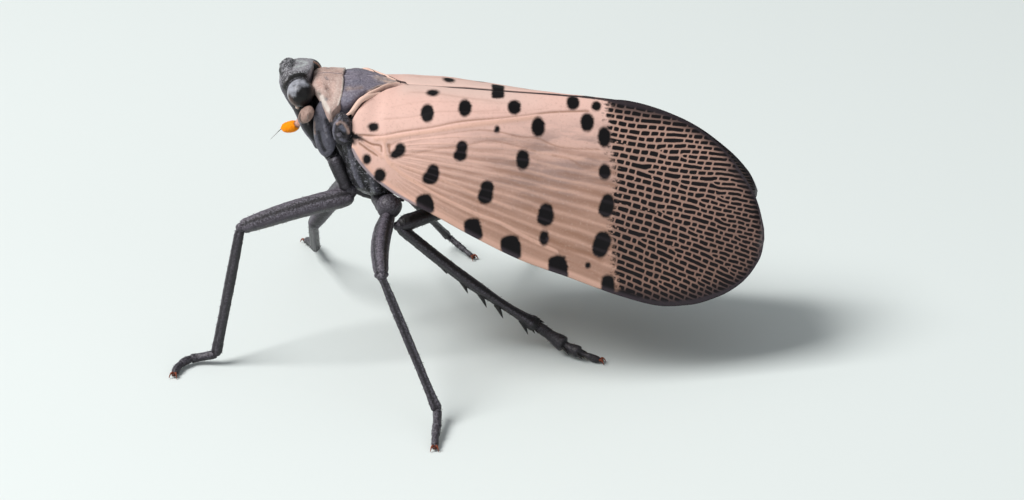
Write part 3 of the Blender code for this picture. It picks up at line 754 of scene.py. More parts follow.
def wingGround(board, look, wobble, fine, dull, ridge):
    # from the pale back to the tan costal part, with mauve clouds, the fan's bands, veins, dust and the rim
    plan, place = board.attribute("plan"), board.place()
    u, v, inner = board.split(plan)
    _, edge, shade = board.split(board.attribute("form"))
    _, strip, rim = board.split(board.attribute("seams"))
    ground = board.mix(look["lower"], look["upper"], board.step(v + wobble * 0.8 - u * 0.10, 4.6, 11.2))
    streaked = board.vector("MULTIPLY", plan, (0.45, 1.6, 1.0))
    cloud = board.noise(streaked, 1.0, 4) + wobble * 0.2
    cloudy = (board.step(cloud, 0.40, 0.64) * board.step(u, -1.2, 2.5) * board.step(v, 11.2, 9.4)
              * board.step(v, 5.6, 8.0))
    costal = board.step(edge, 0.40, 0.20) * board.step(u, 7.2, 6.4)
    flat = board.step(inner, 1.9, 0.5) * board.step(u, -3.6, -2.8) * board.step(u, 4.8, 1.5)
    return board.layered(ground, look, [
        ("mauve", cloudy * 0.62),
        ("tan", dull * board.step(v, 11.0, 8.0) * 0.66),
        ("ridge", ridge * 0.6),
        ("tan", board.step(shade + fine * 0.25, 0.05, 0.95) * 0.85),
        ("ridge", board.step(0.0 - shade + fine * 0.2, 0.05, 0.7) * 0.8),
        ("tan", board.step(board.noise(place, 7.0, 5, 0.7), 0.50, 0.74) * 0.28),
        ("pale", board.step(board.noise(place, 9.0, 4, 0.7), 0.54, 0.72) * 0.25),
        ("ridge", costal * 0.7),
        ("steel", board.step(edge, 0.17, 0.08) * board.step(u, -1.6, -2.8) * 0.8),
        ("pale", flat * 0.5),
        ("tan", strip * board.step(u, 3.0, 0.5) * 0.22),
        # painted shade along the seam where the two wings meet
        ("groove", board.step(inner, 0.13, 0.04) * board.step(u, -3.2, -2.4) * 0.7),
        ("rim", rim * 0.9),
    ])


def wingFinish(name, look, slide):
    # the ground, then the net, the dark border and the spots; slide moves the spots along the plan
    board = Board(name)
    plan = board.attribute("plan")
    u, v, _ = board.split(plan)
    reach, edge, shade = board.split(board.attribute("form"))
    groove = board.split(board.attribute("seams"))[0]
    border = board.split(board.attribute("border"))[0]
    wobble = board.noise(plan, 1.6, 3) - 0.5
    ragged = board.noise(plan, 5.0, 2) - 0.5
    fine = board.noise(board.place(), 11.0, 4, 0.65) - 0.5
    dull, ridge = fanBands(board, look)
    colour = wingGround(board, look, wobble, fine, dull, ridge)
    # net, and the dark border that it fades into
    vein = board.mix(look["veinLower"], look["veinUpper"], board.step(v + wobble, 3.0, 10.5))
    vein = board.layered(vein, look, [
        ("margin", board.step(u - v * 0.25 + wobble, 9.2, 13.2) * 0.42),
        ("margin", board.step(border + ragged * 0.6, 5.0, 0.9) * 0.85),
    ])
    cell = board.step(netGap(board, u, v, net), -0.014, 0.026)
    spread = board.step(reach + ragged * 0.9 + wobble * 0.5, -0.10, 0.35)
    netted = spread * board.step(cell + reach * 1.6, 0.0, 0.55)
    colour = board.mix(colour, board.mix(vein, look["cell"], cell), netted)
    dark = board.step(border + ragged * 0.5 + fine * 0.4, 1.35, 0.75)
    rind = board.mix(look["margin"], look["edge"], board.step(edge, 0.45, 0.05))
    colour = board.mix(colour, rind, dark * 0.9)
    # spots; the veins and the very edge show through them a little
    warped = board.node("ShaderNodeCombineXYZ", (), {0: u + wobble * 0.08 + ragged * 0.12,
                                                     1: v + ragged * 0.08 + fine * 0.08})
    spots = spotMask(board, warped, wingSpots, slide, *look["spotEdge"])
    joined = spotMask(board, warped, [joinedSpot], 0.0, *look["joinedEdge"])
    edges = spotMask(board, warped, marginSpots, slide, *look["marginEdge"])
    crossed = board.step(shade, 0.15, 0.7).maths("MAXIMUM", ridge * 0.7) * 0.6
    for mask, lighter in ((spots.maths("MAXIMUM", joined), crossed), (edges, board.step(edge, 0.30, 0.04))):
        colour = board.mix(colour, board.mix(look["spot"], look["greySpot"], lighter), mask)
    # painted shade in the groove behind the rolled rim
    colour = board.mix(colour, look["groove"], groove)
    # the net stays out of the height, which a renderer works out three times
    normal = board.raised(fine * 0.25 + ridge * 0.35 - dull * 0.2, look["relief"])
    return board.surface(colour, Roughness=look["rough"] + fine * 0.14, Normal=normal,
                         Specular_IOR_Level=look["gloss"])


forewing, rimPath = forewingPart(wing, wingVeins)
rimRoot = rimRootPart(rimPath, wing)
for name, side in sides.items():
    finish = wingFinish(f"wing skin {name}", wingLook, wingLook["rightShift"] if side > 0 else 0.0)
    makePiece(f"wing_{name}", [onSide(part, side) for part in (forewing, rimRoot)], finish,
              [f"forewing_{name}"])
print("forewings made")


plainSkin = {
    "cloudScale": 4.0, "grainScale": 26.0, "speckScale": 11.0,
    "clouds": 0.6, "cloudTint": (0.42, 0.40, 0.40),  # how much the clouds darken, and what they multiply by
    # pale dust, which also paints a highlight on what faces up: its strength, steps in the noise and colour
    "dust": 0.3, "dustSteps": (0.0, 0.28), "dustColour": paint(158, 154, 162),
    "facing": (-0.4, 0.8), "clean": (0.006, 0.028),  # pale dust and a painted highlight lie on what faces up, and not on darker tints
    "relief": 0.03, "rough": 0.5, "gloss": 0.3, "coat": 0.0, "coatRough": 0.25,
}


def cuticleFinish(name, **changes):
    # the painted tint clouded by soft noise, pale dust and a painted highlight on what faces up but not on
    # black marks, and granules as bump
    look = {**plainSkin, **changes}
    board = Board(name)
    where, tint = board.place(), board.attribute("tint")
    cloud = board.noise(where, look["cloudScale"], 4) - 0.5
    fine = board.noise(where, look["grainScale"], 3, 0.6) - 0.5
    coarse = board.noise(where, look["speckScale"], 4, 0.65) - 0.5
    shaded = board.mix(look["cloudTint"], (1.0, 1.0, 1.0), board.step(cloud + coarse * 0.6, -0.30, 0.10))
    colour = board.mix(tint, shaded, look["clouds"], "MULTIPLY")
    up = board.split(board.node("ShaderNodeNewGeometry", output="Normal"))[2]
    # pale dust and painted highlight: paler specks where the surface faces up
    dust = board.step(coarse + fine * 0.5, *look["dustSteps"]) * board.step(up, *look["facing"])
    dust = dust * board.step(board.split(tint)[1], *look["clean"])
    colour = board.mix(colour, look["dustColour"], dust * look["dust"])
    normal = board.raised(fine * 0.7 + coarse + cloud * 0.4, look["relief"])
    return board.surface(colour, Roughness=look["rough"] + fine * 0.25, Normal=normal,
                         Specular_IOR_Level=look["gloss"], Coat_Weight=look["coat"],
                         Coat_Roughness=look["coatRough"])


def atDistances(stations, count):  # the stations' rows at evenly spaced travel along them
    table = np.array(stations, float)
    travel = np.concatenate([[0], np.cumsum(np.linalg.norm(np.diff(table, axis=0), axis=1))])
    return through(np.column_stack([travel, table]), np.linspace(0, travel[-1], count))


def bead(middle, radii, rows=14, around=20):  # an oval ball
    turn = np.linspace(-0.5 * math.pi, 0.5 * math.pi, rows + 2)[1:-1]
    cosine, sine = circle(around)
    flat, up = np.cos(turn)[:, None], np.sin(turn)[:, None]
    grid = np.stack(np.broadcast_arrays(flat * cosine, flat * sine, up), 2)
    return closedTube(np.array(middle) + grid * radii)


head = {
    "levels": [  # height, front, back, half width
        (14.94, -8.36, -7.96, 0.20), (14.90, -8.66, -7.56, 0.70), (14.80, -8.90, -7.46, 0.98),
        (14.55, -9.03, -7.46, 1.12), (14.20, -9.08, -7.50, 1.20), (13.60, -8.90, -7.50, 1.27),
        (12.70, -8.46, -7.36, 1.23), (11.80, -8.08, -7.10, 1.12), (10.90, -7.50, -6.72, 0.90),
        (10.00, -6.94, -6.32, 0.64), (9.20, -6.46, -5.98, 0.41), (8.80, -6.24, -5.95, 0.22),
    ],
    "rows": 190, "around": 150, "boxiness": 0.80,
    "base": paint(70, 66, 72), "lumps": (0.16, 0.008, 5),  # lumps: size, height and seed
    "turn": (0.16, 0.0, -0.03),  # how far back the right side lies for each millimetre out
    "knob": (-8.78, 0, 14.95), "knobReach": 0.60,
    "warts": (0.11, 0.05, 2), "freckles": (0.09, 0.8, 4),  # of the knob: size, height or strength, seed
    "eye": (-7.98, 1.40, 13.90), "eyeRadii": (0.66, 0.72, 0.68),
    "ocellus": (-8.16, 1.34, 13.14), "ocellusRadii": (0.10, 0.08, 0.11), "ocellusTint": paint(226, 200, 186),
    # the brown rim behind the right eye, which shows over the crown
    "orbit": (-7.90, 0, 13.90), "orbitRadii": (0.72, 0.76), "orbitOut": 0.98, "orbitThick": 0.05,
    "orbitTint": paint(140, 104, 84),
    "beak": [(-6.10, 0, 8.60), (-5.60, 0, 8.22), (-4.60, 0, 7.86), (-3.10, 0, 7.58)],
    # share of its length and radius
    "beakShape": [(0, 0.16), (0.1, 0.22), (0.35, 0.20), (0.36, 0.23), (0.7, 0.18), (1, 0.07)],
    "beakLumps": (0.12, 0.01),
}
black, soot, slate, ash = paint(20, 18, 20), paint(38, 35, 39), paint(78, 75, 82), paint(128, 124, 128)
bone, umber = paint(206, 196, 190), paint(104, 78, 66)
socket, socketBlack = (-7.98, 0, 13.90), paint(10, 8, 9)  # the eye's middle, brought to the median plane


def arcAbout(middle, radii, start, end, y, count=14):  # an arc in the upright plane at y, angles in degrees
    turn = np.radians(np.linspace(start, end, count))
    along, up = radii[0] * np.cos(turn), radii[1] * np.sin(turn)
    return np.stack([middle[0] + along, np.full(count, y), middle[2] + up], 1)


headMarks = [
    # face, from the knob down to the beak
    ([(-8.2, -0.9, 12.4), (-7.5, -0.9, 11.2), (-6.9, -0.6, 10.2)], 0.55, 0.0, soot, 0.75),
    ([(-8.0, -1.2, 13.2), (-7.6, -1.2, 12.4), (-7.2, -1.1, 11.5)], 0.50, -0.10, black, 0.9),
    ([(-8.98, -0.72, 14.3), (-8.82, -0.92, 13.6), (-8.45, -0.98, 12.8), (-8.0, -0.95, 11.9),
      (-7.3, -0.7, 10.8)], 0.09, 0.09, paint(140, 138, 148), 0.85),
    ([(-9.05, -0.35, 14.4), (-8.9, -0.45, 13.7)], 0.13, 0.0, umber, 0.7),
    ([(-8.9, 0.0, 13.9), (-8.3, 0.0, 12.4), (-7.7, 0.0, 11.2)], 0.06, 0.05, slate, 0.5),
    ([(-7.3, -0.75, 10.9), (-6.8, -0.6, 10.0), (-6.3, -0.4, 9.2)], 0.16, 0.04, slate, 0.8),
    ([(-7.0, -0.3, 10.3), (-6.6, -0.25, 9.6)], 0.12, -0.03, ash, 0.4),
    # vertex, a shallow plate between two keels
    ([(-8.22, 0.35, 14.9), (-8.12, -0.35, 14.9)], 0.55, -0.07, paint(154, 152, 158), 0.85),
    ([(-7.74, 0.7, 14.8), (-7.62, -0.2, 14.8), (-7.58, -0.6, 14.7)], 0.24, 0.0, paint(146, 142, 150), 0.85),
    ([(-8.30, -0.45, 14.88), (-8.02, -0.30, 14.92), (-7.8, -0.1, 14.9)], 0.11, 0.0,
     paint(196, 204, 202), 0.75),
    ([(-7.85, 0.45, 14.9)], 0.16, 0.0, paint(190, 196, 196), 0.7),
    ([(-7.68, -0.66, 14.66), (-8.0, -0.84, 14.72), (-8.35, -0.95, 14.70), (-8.66, -0.92, 14.54)], 0.08, 0.12,
     paint(118, 116, 124), 0.9),
    # painted shadow of the brow: a black line under the keel, over the eye
    ([(-7.72, -0.90, 14.50), (-8.1, -1.04, 14.58), (-8.5, -1.05, 14.52)], 0.07, -0.03, black, 0.9),
    ([(-8.44, -0.8, 14.75), (-8.40, -0.35, 14.9), (-8.40, 0.0, 14.92)], 0.07, -0.12, black, 0.9),
    # the knob in front of it
    ([(-8.76, 0.0, 14.88)], 0.34, 0.20, paint(46, 46, 50), 0.95),
    ([(-8.70, -0.42, 14.82)], 0.22, 0.16, paint(52, 50, 56), 0.9),
    ([(-9.05, -0.1, 14.62), (-8.86, -0.62, 14.58)], 0.12, 0.05, black, 0.95),
    ([(-8.98, -0.5, 14.38), (-8.80, -0.78, 14.42)], 0.06, 0.06, paint(96, 92, 100), 0.8),
    # eye socket
    (arcAbout(socket, (0.82, 0.84), 0, 360, -1.20, 30), 0.13, 0.06, socketBlack, 0.98),
    (arcAbout(socket, (0.80, 0.80), 10, 170, -1.00, 20), 0.13, 0.03, socketBlack, 0.98),
    (arcAbout(socket, (0.90, 0.92), 140, 235, -1.12), 0.06, 0.05, paint(120, 100, 96), 0.7),
    # painted highlight: a thin pale crescent on the socket's upper rear rim
    (arcAbout(socket, (0.80, 0.80), 42, 82, -1.26), 0.035, 0.03, bone, 0.9),
    # painted shade: black in the gap between the eye and the pronotum
    (arcAbout(socket, (0.96, 0.98), -60, 30, -1.05), 0.12, 0.0, black, 0.8),
    # rear rim of the cheek, pale below the eye
    ([(-7.28, -1.15, 12.85), (-7.20, -1.12, 12.4), (-7.10, -1.05, 11.95)], 0.07, 0.06,
     paint(190, 160, 145), 0.9),
    ([(-7.10, -1.02, 11.8), (-6.80, -0.8, 11.0)], 0.08, 0.05, slate, 0.8),
]


def levelPart(look):
    # level ovals, boxed a little, at even travel from the top down
    levels = atDistances(look["levels"], look["rows"])
    along, across = (squared(c, look["boxiness"]) for c in circle(look["around"]))
    height, front, back, half = (column[:, None] for column in levels.T)
    return ringsOf((front + back) / 2 + (back - front) / 2 * along, half * across, height)


def turned(points, look):  # the head looks a little to its left, so its right side lies further back
    return points + np.maximum(points[:, 1:2], 0) * look["turn"]


def headPart(look):
    # the level ovals with their marks, and lumps and freckles that grow stronger towards the knob
    part = marked(tinted(levelPart(look), look["base"]), headMarks)
    knob = bump(np.linalg.norm(part["points"] - look["knob"], axis=1), look["knobReach"])
    size, height, seed = look["warts"]
    part["points"] += (knob * height * grain(part["points"], size, seed))[:, None] * normalsOf(part)
    size, strength, seed = look["freckles"]
    part["tint"] *= (1 + strength * knob * grain(part["points"], size, seed))[:, None].clip(0.3, 2)
    part["points"] = turned(part["points"], look)
    return roughened(part, *look["lumps"])


def beakPart(look):  # a tube along the beak's path that narrows to its point
    path = bent(look["beak"], 60)
    radii = through(look["beakShape"], np.linspace(0, 1, 60))[:, 0]
    return roughened(tinted(tube(path, radii, 24), soot), *look["beakLumps"])


ocelli = [onSide(tinted(bead(head["ocellus"], head["ocellusRadii"]), head["ocellusTint"]), side)
          for side in sides.values()]
orbitArc = arcAbout(head["orbit"], head["orbitRadii"], 0, 120, head["orbitOut"], 40)
orbit = tinted(tube(orbitArc, head["orbitThick"], 12), head["orbitTint"])
orbit["points"] = turned(orbit["points"], head)
headSkin = cuticleFinish("head cuticle", rough=0.42, dust=0.72, dustSteps=(-0.07, 0.13), relief=0.055,
                         coat=0.12, clouds=0.85, dustColour=paint(186, 186, 191))
darkSkin = cuticleFinish("dark cuticle", rough=0.44, dust=0.58, dustSteps=(-0.02, 0.13), relief=0.055,
                         coat=0.12, clouds=0.9, dustColour=paint(140, 138, 152))
makePiece("skull", [headPart(head), *ocelli, orbit], headSkin, ["head"])
makePiece("beak", [beakPart(head)], darkSkin, ["rostrum"])


eyeLook = {
    # the lilac is a painted highlight where the eye faces up and forward
    "black": paint(9, 6, 8), "brown": paint(104, 74, 62), "lilac": paint(176, 178, 188),
    "lowShare": 0.85, "lowSteps": (0.35, 0.95), "frontShare": 0.92, "frontSteps": (0.10, 1.15),
    "facetScale": 22.0, "facetEdge": (0.0, 0.14), "relief": 0.004,
    "rough": 0.34, "gloss": 0.25, "coat": 0.15, "coatRough": 0.14,
}


def eyeFinish(look):
    # black, a painted grey-lilac highlight where it looks up and forward, brown low in front, a faint mesh of
    # lenses
    board = Board("eye lens")
    where = board.place()
    facets = board.node("ShaderNodeTexVoronoi", {"feature": "DISTANCE_TO_EDGE"},
                        {"Vector": where, "Scale": look["facetScale"]})
    x, y, z = board.split(board.node("ShaderNodeNewGeometry", output="Normal"))
    cloud = board.noise(where, 2.8, 3) - 0.5
    # painted highlight: grey-lilac where the eye faces up and forward
    front = board.step(z * 0.75 - x * 0.62 - (y * y) * 0.2 + cloud * 2.0, *look["frontSteps"])
    low = board.step(0.0 - z * 0.5 - x * 0.85 + cloud * 0.8, *look["lowSteps"])
    colour = board.layered(look["black"], look, [
        ("brown", low * look["lowShare"]),
        ("lilac", front * look["frontShare"]),
    ])
    normal = board.raised(board.step(facets, *look["facetEdge"]), look["relief"])
    return board.surface(colour, Roughness=look["rough"], Normal=normal, Specular_IOR_Level=look["gloss"],
                         Coat_Weight=look["coat"], Coat_Roughness=look["coatRough"])


eyeSkin = eyeFinish(eyeLook)
for name, side in sides.items():
    ball = onSide(bead(head["eye"], head["eyeRadii"], 60, 80), side)
    ball["points"] = turned(ball["points"], head)
    makePiece(f"lens_{name}", [ball], eyeSkin, [f"eye_{name}"])
print("head made")


feelers = {
    "left": {
        "path": [(-7.74, 1.16, 12.70), (-7.66, 1.90, 12.99), (-7.58, 2.60, 13.23)],
        "bulb": 0.35, "upright": 1.22, "lean": 0.32,  # the bulb's radius, height over width, and slant
        # painted light: both bulbs are orange-red; the left one is painted a dull brownish pink, as it looks
        # lit from the front
        "tint": paint(160, 134, 124), "stalkTint": paint(120, 96, 86),
        "marks": [
            # painted highlight on the upper left of the bulb
            ([(-7.66, -2.62, 13.50)], 0.12, 0.02, paint(196, 184, 178), 0.7),
            # painted shadow: the dark crescent on the lower left of the bulb
            ([(-8.02, -2.3, 13.10), (-7.96, -2.35, 12.90), (-7.80, -2.35, 12.78)], 0.10, -0.04, black, 0.9),
            ([(-7.40, -2.60, 13.20), (-7.48, -2.6, 13.0)], 0.12, -0.03, paint(122, 100, 92), 0.6),
        ],
    },
    "right": {
        "path": [(-8.00, 1.16, 11.56), (-8.48, 1.50, 11.00), (-9.22, 1.88, 10.66)],
        "bulb": 0.29, "upright": 1.0, "lean": 0.0,
        # painted light: the right bulb is painted a glowing orange, as it looks lit from behind
        "tint": paint(255, 146, 0), "stalkTint": paint(212, 164, 150), "marks": [],
    },
}
feelerForm = {
    "stations": 90, "around": 44,
    # share of the length and radius, then the same with the radius as a share of the bulb's
    "stalk": [(0, 0.20), (0.05, 0.24), (0.24, 0.21), (0.37, 0.16), (0.42, 0.20)],
    "bulb": [(0.51, 0.90), (0.62, 1.0), (0.78, 0.95), (0.91, 0.70), (0.97, 0.38)],
    "tip": (1.0, 0.08), "neckAt": 0.40, "bulbFrom": 0.52, "lumps": (0.07, 0.012, 7),
    "neckShade": 0.55, "neckReach": 0.03, "stalkTo": (0.39, 0.42),
    "bristle": 0.66, "sway": (-0.036, 0.0, -0.468), "bristleRadii": (0.022, 0.006),
    "bristleTint": paint(120, 112, 108),
}


def feelerParts(look, form):
    # a stalk, a bulb that swells and rounds off, and the fine bristle at its end
    count, around = form["stations"], form["around"]
    path, share = bent(look["path"], count), np.linspace(0, 1, count)
    swell = [(place, radius * look["bulb"]) for place, radius in form["bulb"]]
    radius = through([*form["stalk"], *swell, form["tip"]], share)[:, 0]
    stalk = tinted(tube(path, radius, around, look["upright"]), look["tint"])
    near = np.append(np.repeat(share, around), (0, 1))
    onBulb = ramp(near, form["neckAt"], form["bulbFrom"])
    stalk["points"][:, 0] += look["lean"] * (stalk["points"][:, 2] - path[-1][2]) * onBulb
    stalk["tint"] += (look["stalkTint"] - stalk["tint"]) * fade(near, *form["stalkTo"])[:, None]
    stalk["tint"] *= (1 - form["neckShade"] * bump(near - form["neckAt"], form["neckReach"]))[:, None]
    stalk = marked(stalk, look["marks"])
    ahead = unit(path[-1] - path[-9])
    steps = np.linspace(0, 1, 14)[:, None]
    reach = path[-1] + (form["bristle"] * ahead + form["sway"]) * steps
    bristle = tube(reach, np.linspace(*form["bristleRadii"], 14), 6)
    return [roughened(stalk, *form["lumps"]), tinted(bristle, form["bristleTint"])]


pits = {"scale": 13.0, "edge": (0.34, 0.12), "tint": (0.55, 0.42, 0.36), "share": 0.7, "depth": 0.03,
        "rough": 0.6, "gloss": 0.15}


def pitFinish(name, look):  # small round pits over the bulb
    board = Board(name)
    dots = board.node("ShaderNodeTexVoronoi", (), {"Vector": board.place(), "Scale": look["scale"]})
    pit = board.step(dots, *look["edge"])
    colour = board.mix(board.attribute("tint"), look["tint"], pit * look["share"], "MULTIPLY")
    normal = board.raised(1.0 - pit, look["depth"])
    return board.surface(colour, Roughness=look["rough"], Normal=normal, Specular_IOR_Level=look["gloss"])


feelerSkin = pitFinish("feeler", pits)
for name, side in sides.items():
    parts = [onSide(part, side) for part in feelerParts(feelers[name], feelerForm)]
    makePiece(f"feeler_{name}", parts, feelerSkin, [f"antenna_{name}"])
print("feelers made")


collar = {
    # |Y|, front, back, height of the top
    "slices": [(0.00, -7.44, -5.96, 14.42), (0.60, -7.50, -5.96, 14.38), (1.20, -7.36, -5.96, 14.22),
               (1.75, -7.00, -5.98, 13.90), (2.05, -6.82, -6.10, 13.64), (2.20, -6.72, -6.24, 13.50),
               (2.36, -6.60, -6.42, 13.36)],
    "thickness": 0.60, "across": 230, "round": 72,
    "base": paint(190, 162, 153), "lumps": (0.22, 0.018, 8),  # lumps: size, height and seed
    # the profile: share of the way from front to back, and drop below the top; then the underside, whose
    # drop is less than the thickness
    "outline": [(1.00, 0.30), (1.00, 0.12), (0.96, 0.05), (0.80, 0.03), (0.40, 0.0), (0.20, 0.05),
                (0.08, 0.12), (0.01, 0.24), (0.00, 0.36), (0.04, 0.48)],
    "underside": [(0.14, 0.02), (0.5, 0.0), (0.9, 0.0), (0.99, 0.08)],
}
mottle, wax = paint(150, 122, 112), paint(222, 214, 206)
collarMarks = [
    ([(-7.3, 0, 14.4), (-6.0, 0, 14.4)], 0.05, -0.05, paint(110, 102, 108), 0.85),
    ([(-7.25, -0.32, 14.4), (-6.75, -0.30, 14.4), (-6.25, -0.2, 14.4)], 0.06, -0.03, mottle, 0.5),
    ([(-6.80, -0.55, 14.35), (-6.72, -0.72, 14.33)], 0.08, -0.03, paint(120, 108, 112), 0.75),
    ([(-6.80, -1.05, 14.2), (-6.62, -1.45, 14.05), (-6.60, -1.85, 13.80)], 0.13, -0.05, mottle, 0.6),
    ([(-6.70, -1.35, 14.1)], 0.09, -0.04, paint(124, 104, 100), 0.7),
    ([(-6.74, -1.86, 13.78)], 0.09, -0.05, paint(104, 98, 104), 0.85),
    ([(-7.12, -0.8, 14.3), (-7.0, -1.15, 14.15)], 0.14, 0.02, paint(196, 158, 146), 0.6),
    ([(-6.4, -1.0, 14.2), (-6.35, -1.5, 14.0)], 0.12, 0.01, paint(214, 180, 168), 0.5),
    ([(-6.2, -0.6, 14.35), (-6.2, -1.6, 13.95), (-6.32, -2.1, 13.6)], 0.10, 0.02, paint(214, 192, 182), 0.5),
    ([(-6.98, -1.75, 13.8), (-6.85, -2.05, 13.6), (-6.66, -2.32, 13.4)], 0.16, 0.03, wax, 0.75),
    ([(-7.33, -0.3, 14.25), (-7.26, -1.0, 14.1), (-7.04, -1.6, 13.8)], 0.07, 0.05, wax, 0.6),
    ([(-5.98, -0.4, 14.35), (-5.98, -1.6, 14.0), (-6.14, -2.1, 13.55)], 0.05, 0.04, wax, 0.6),
    ([(-7.12, -1.52, 13.86)], 0.14, -0.16, paint(190, 180, 172), 0.8),
]


def collarPart(look):
    # a closed profile of lip, top, rear edge and underside, carried across the body
    y = np.linspace(-look["slices"][-1][0], look["slices"][-1][0], look["across"])
    front, back, top = (column[:, None] for column in through(look["slices"], np.abs(y)).T)
    underside = [(share, look["thickness"] - less) for share, less in look["underside"]]
    ring = bent([*look["outline"], *underside, look["outline"][0]], look["round"] + 1)[:-1]
    return ringsOf(front + (back - front) * ring[:, 0], y[:, None], top - ring[:, 1])


collarSkin = cuticleFinish("pronotum", dust=0.45, dustColour=paint(236, 226, 218), clouds=0.35,
                           dustSteps=(0.0, 0.22), relief=0.035, cloudScale=3.0)
makePiece("collar", [shellPart(collarPart(collar), collar, collarMarks)], collarSkin,
          ["pronotum"])

neck = {
    "levels": [  # height, front, back, half width
        (14.00, -6.90, -6.30, 0.70), (13.60, -7.40, -6.00, 1.22), (13.10, -7.46, -5.90, 1.36),
        (12.40, -7.24, -5.80, 1.40), (11.80, -6.90, -5.70, 1.36), (11.10, -6.50, -5.60, 1.24),
        (10.60, -6.24, -5.70, 0.96), (10.45, -6.10, -5.80, 0.55),
    ],
    "rows": 90, "around": 90, "boxiness": 0.8, "base": black, "lumps": (0.2, 0.02, 9),
}
makePiece("neck", [shellPart(levelPart(neck), neck, [])], darkSkin, ["prothorax"])

# oval plates of the flank: middle, radii
plates = {
    "propleuron": {"middle": (-6.80, 1.72, 12.20), "radii": (0.60, 0.38, 1.52),
                   "base": paint(104, 102, 114), "lumps": (0.14, 0.012, 11)},
    "tegula": {"middle": (-5.96, 2.66, 12.56), "radii": (0.48, 0.33, 0.84),
               "base": paint(44, 41, 46), "lumps": (0.14, 0.012, 11)},
}
plateMarks = {
    "propleuron": [
        ([(-7.0, -1.7, 13.1), (-6.72, -2.0, 12.75), (-6.5, -2.05, 12.35), (-6.38, -2.0, 11.9)], 0.10, -0.07,
         black, 0.9),
        ([(-7.32, -1.9, 12.6), (-7.30, -1.9, 12.0)], 0.06, 0.05, paint(196, 168, 156), 0.8),
        ([(-7.12, -2.0, 12.1), (-7.05, -2.0, 11.6), (-6.85, -1.95, 11.1)], 0.10, -0.08, black, 0.85),
        ([(-6.75, -2.05, 12.3), (-6.62, -2.05, 11.6), (-6.45, -2.0, 11.0)], 0.16, 0.05,
         paint(112, 110, 124), 0.8),
        ([(-6.84, -2.08, 12.5), (-6.72, -2.08, 11.9)], 0.04, 0.03, paint(168, 164, 174), 0.7),
        ([(-6.22, -2.0, 12.4), (-6.2, -1.9, 11.4)], 0.12, -0.06, black, 0.9),
    ],
    "tegula": [
        ([(-6.02, -2.9, 13.25), (-6.28, -2.9, 12.95), (-6.36, -2.85, 12.5), (-6.28, -2.8, 12.1)], 0.06, 0.05,
         paint(128, 126, 140), 0.85),
        ([(-6.14, -2.95, 12.95), (-5.98, -3.0, 13.06), (-5.80, -3.0, 12.95), (-5.68, -2.95, 12.68),
          (-5.62, -2.9, 12.45)], 0.075, 0.09, paint(186, 156, 144), 0.95),
        ([(-5.95, -3.0, 12.78), (-5.84, -3.0, 12.62)], 0.11, 0.03, paint(104, 106, 122), 0.85),
        ([(-6.02, -3.0, 12.5), (-5.8, -3.0, 12.36)], 0.07, -0.08, black, 0.9),
        ([(-6.10, -2.98, 12.36)], 0.09, 0.07, paint(132, 128, 140), 0.85),
        ([(-6.0, -2.95, 12.12), (-5.7, -2.9, 11.95)], 0.08, 0.05, paint(120, 118, 132), 0.8),
    ],
}
for kind, look in plates.items():
    shell = shellPart(bead(look["middle"], look["radii"], 64, 80), look, plateMarks[kind])
    for name, side in sides.items():
        makePiece(f"{kind}_plate_{name}", [onSide(shell, side)], darkSkin, [f"{kind}_{name}"])
print("collar and flank plates made")


shield = {
    "slices": [  # X, half width, height of the middle, drop to the edge
        (-6.10, 1.86, 14.12, 0.44), (-5.96, 2.02, 14.20, 0.46), (-5.72, 2.06, 14.24, 0.46),
        (-5.36, 1.90, 14.31, 0.42), (-4.90, 1.44, 14.26, 0.28), (-4.30, 0.83, 14.13, 0.12),
        (-3.80, 0.36, 13.99, 0.05), (-3.42, 0.12, 13.89, 0.01), (-3.30, 0.04, 13.84, 0.0),
    ],
    "thickness": 0.70, "stations": 130, "over": 90, "under": 20, "crowding": 1.2,
    "edgeFrom": 0.93, "edgeDrop": 0.10,  # the rounded edge: share of the half width, and its drop
    "base": paint(118, 112, 126), "lumps": (0.15, 0.012, 12),
}
shieldMarks = [
    ([(-5.95, 0, 14.2), (-4.4, 0, 14.2), (-3.9, 0, 14.0)], 0.045, 0.05, paint(168, 160, 176), 0.8),
    ([(-5.9, -0.62, 14.2), (-5.0, -0.52, 14.2), (-4.3, -0.22, 14.1)], 0.05, 0.045, paint(136, 130, 148), 0.6),
    ([(-5.9, -1.15, 14.1), (-5.3, -1.05, 14.1), (-4.9, -0.8, 14.1), (-4.5, -0.6, 14.0)], 0.06, 0.03,
     paint(84, 80, 92), 0.6),
    ([(-5.6, -0.8, 14.15), (-5.2, -0.75, 14.15)], 0.22, 0.0, paint(104, 102, 118), 0.7),
    ([(-5.66, -1.25, 13.98), (-5.4, -1.30, 13.95), (-5.1, -1.15, 13.98)], 0.17, 0.0,
     paint(146, 126, 118), 0.75),
    ([(-5.50, -1.62, 13.75), (-5.2, -1.56, 13.72)], 0.13, -0.03, paint(52, 54, 56), 0.9),
    # painted highlight: a small whitish glint at the front corner
    ([(-5.86, -1.62, 13.85), (-5.78, -1.70, 13.82)], 0.07, 0.03, paint(204, 204, 210), 0.9),
    ([(-5.90, -1.9, 13.75), (-5.6, -1.95, 13.72)], 0.14, 0.0, paint(120, 118, 134), 0.7),
    ([(-4.2, 0, 14.1), (-3.3, 0, 13.85)], 0.32, 0.02, paint(176, 158, 152), 0.8),
    ([(-3.95, -0.22, 14.0), (-3.4, -0.1, 13.9)], 0.08, 0.03, paint(208, 180, 166), 0.8),
    ([(-4.75, -1.25, 13.9), (-4.2, -0.75, 14.0), (-3.7, -0.3, 13.95)], 0.06, 0.05, paint(196, 172, 160), 0.8),
]


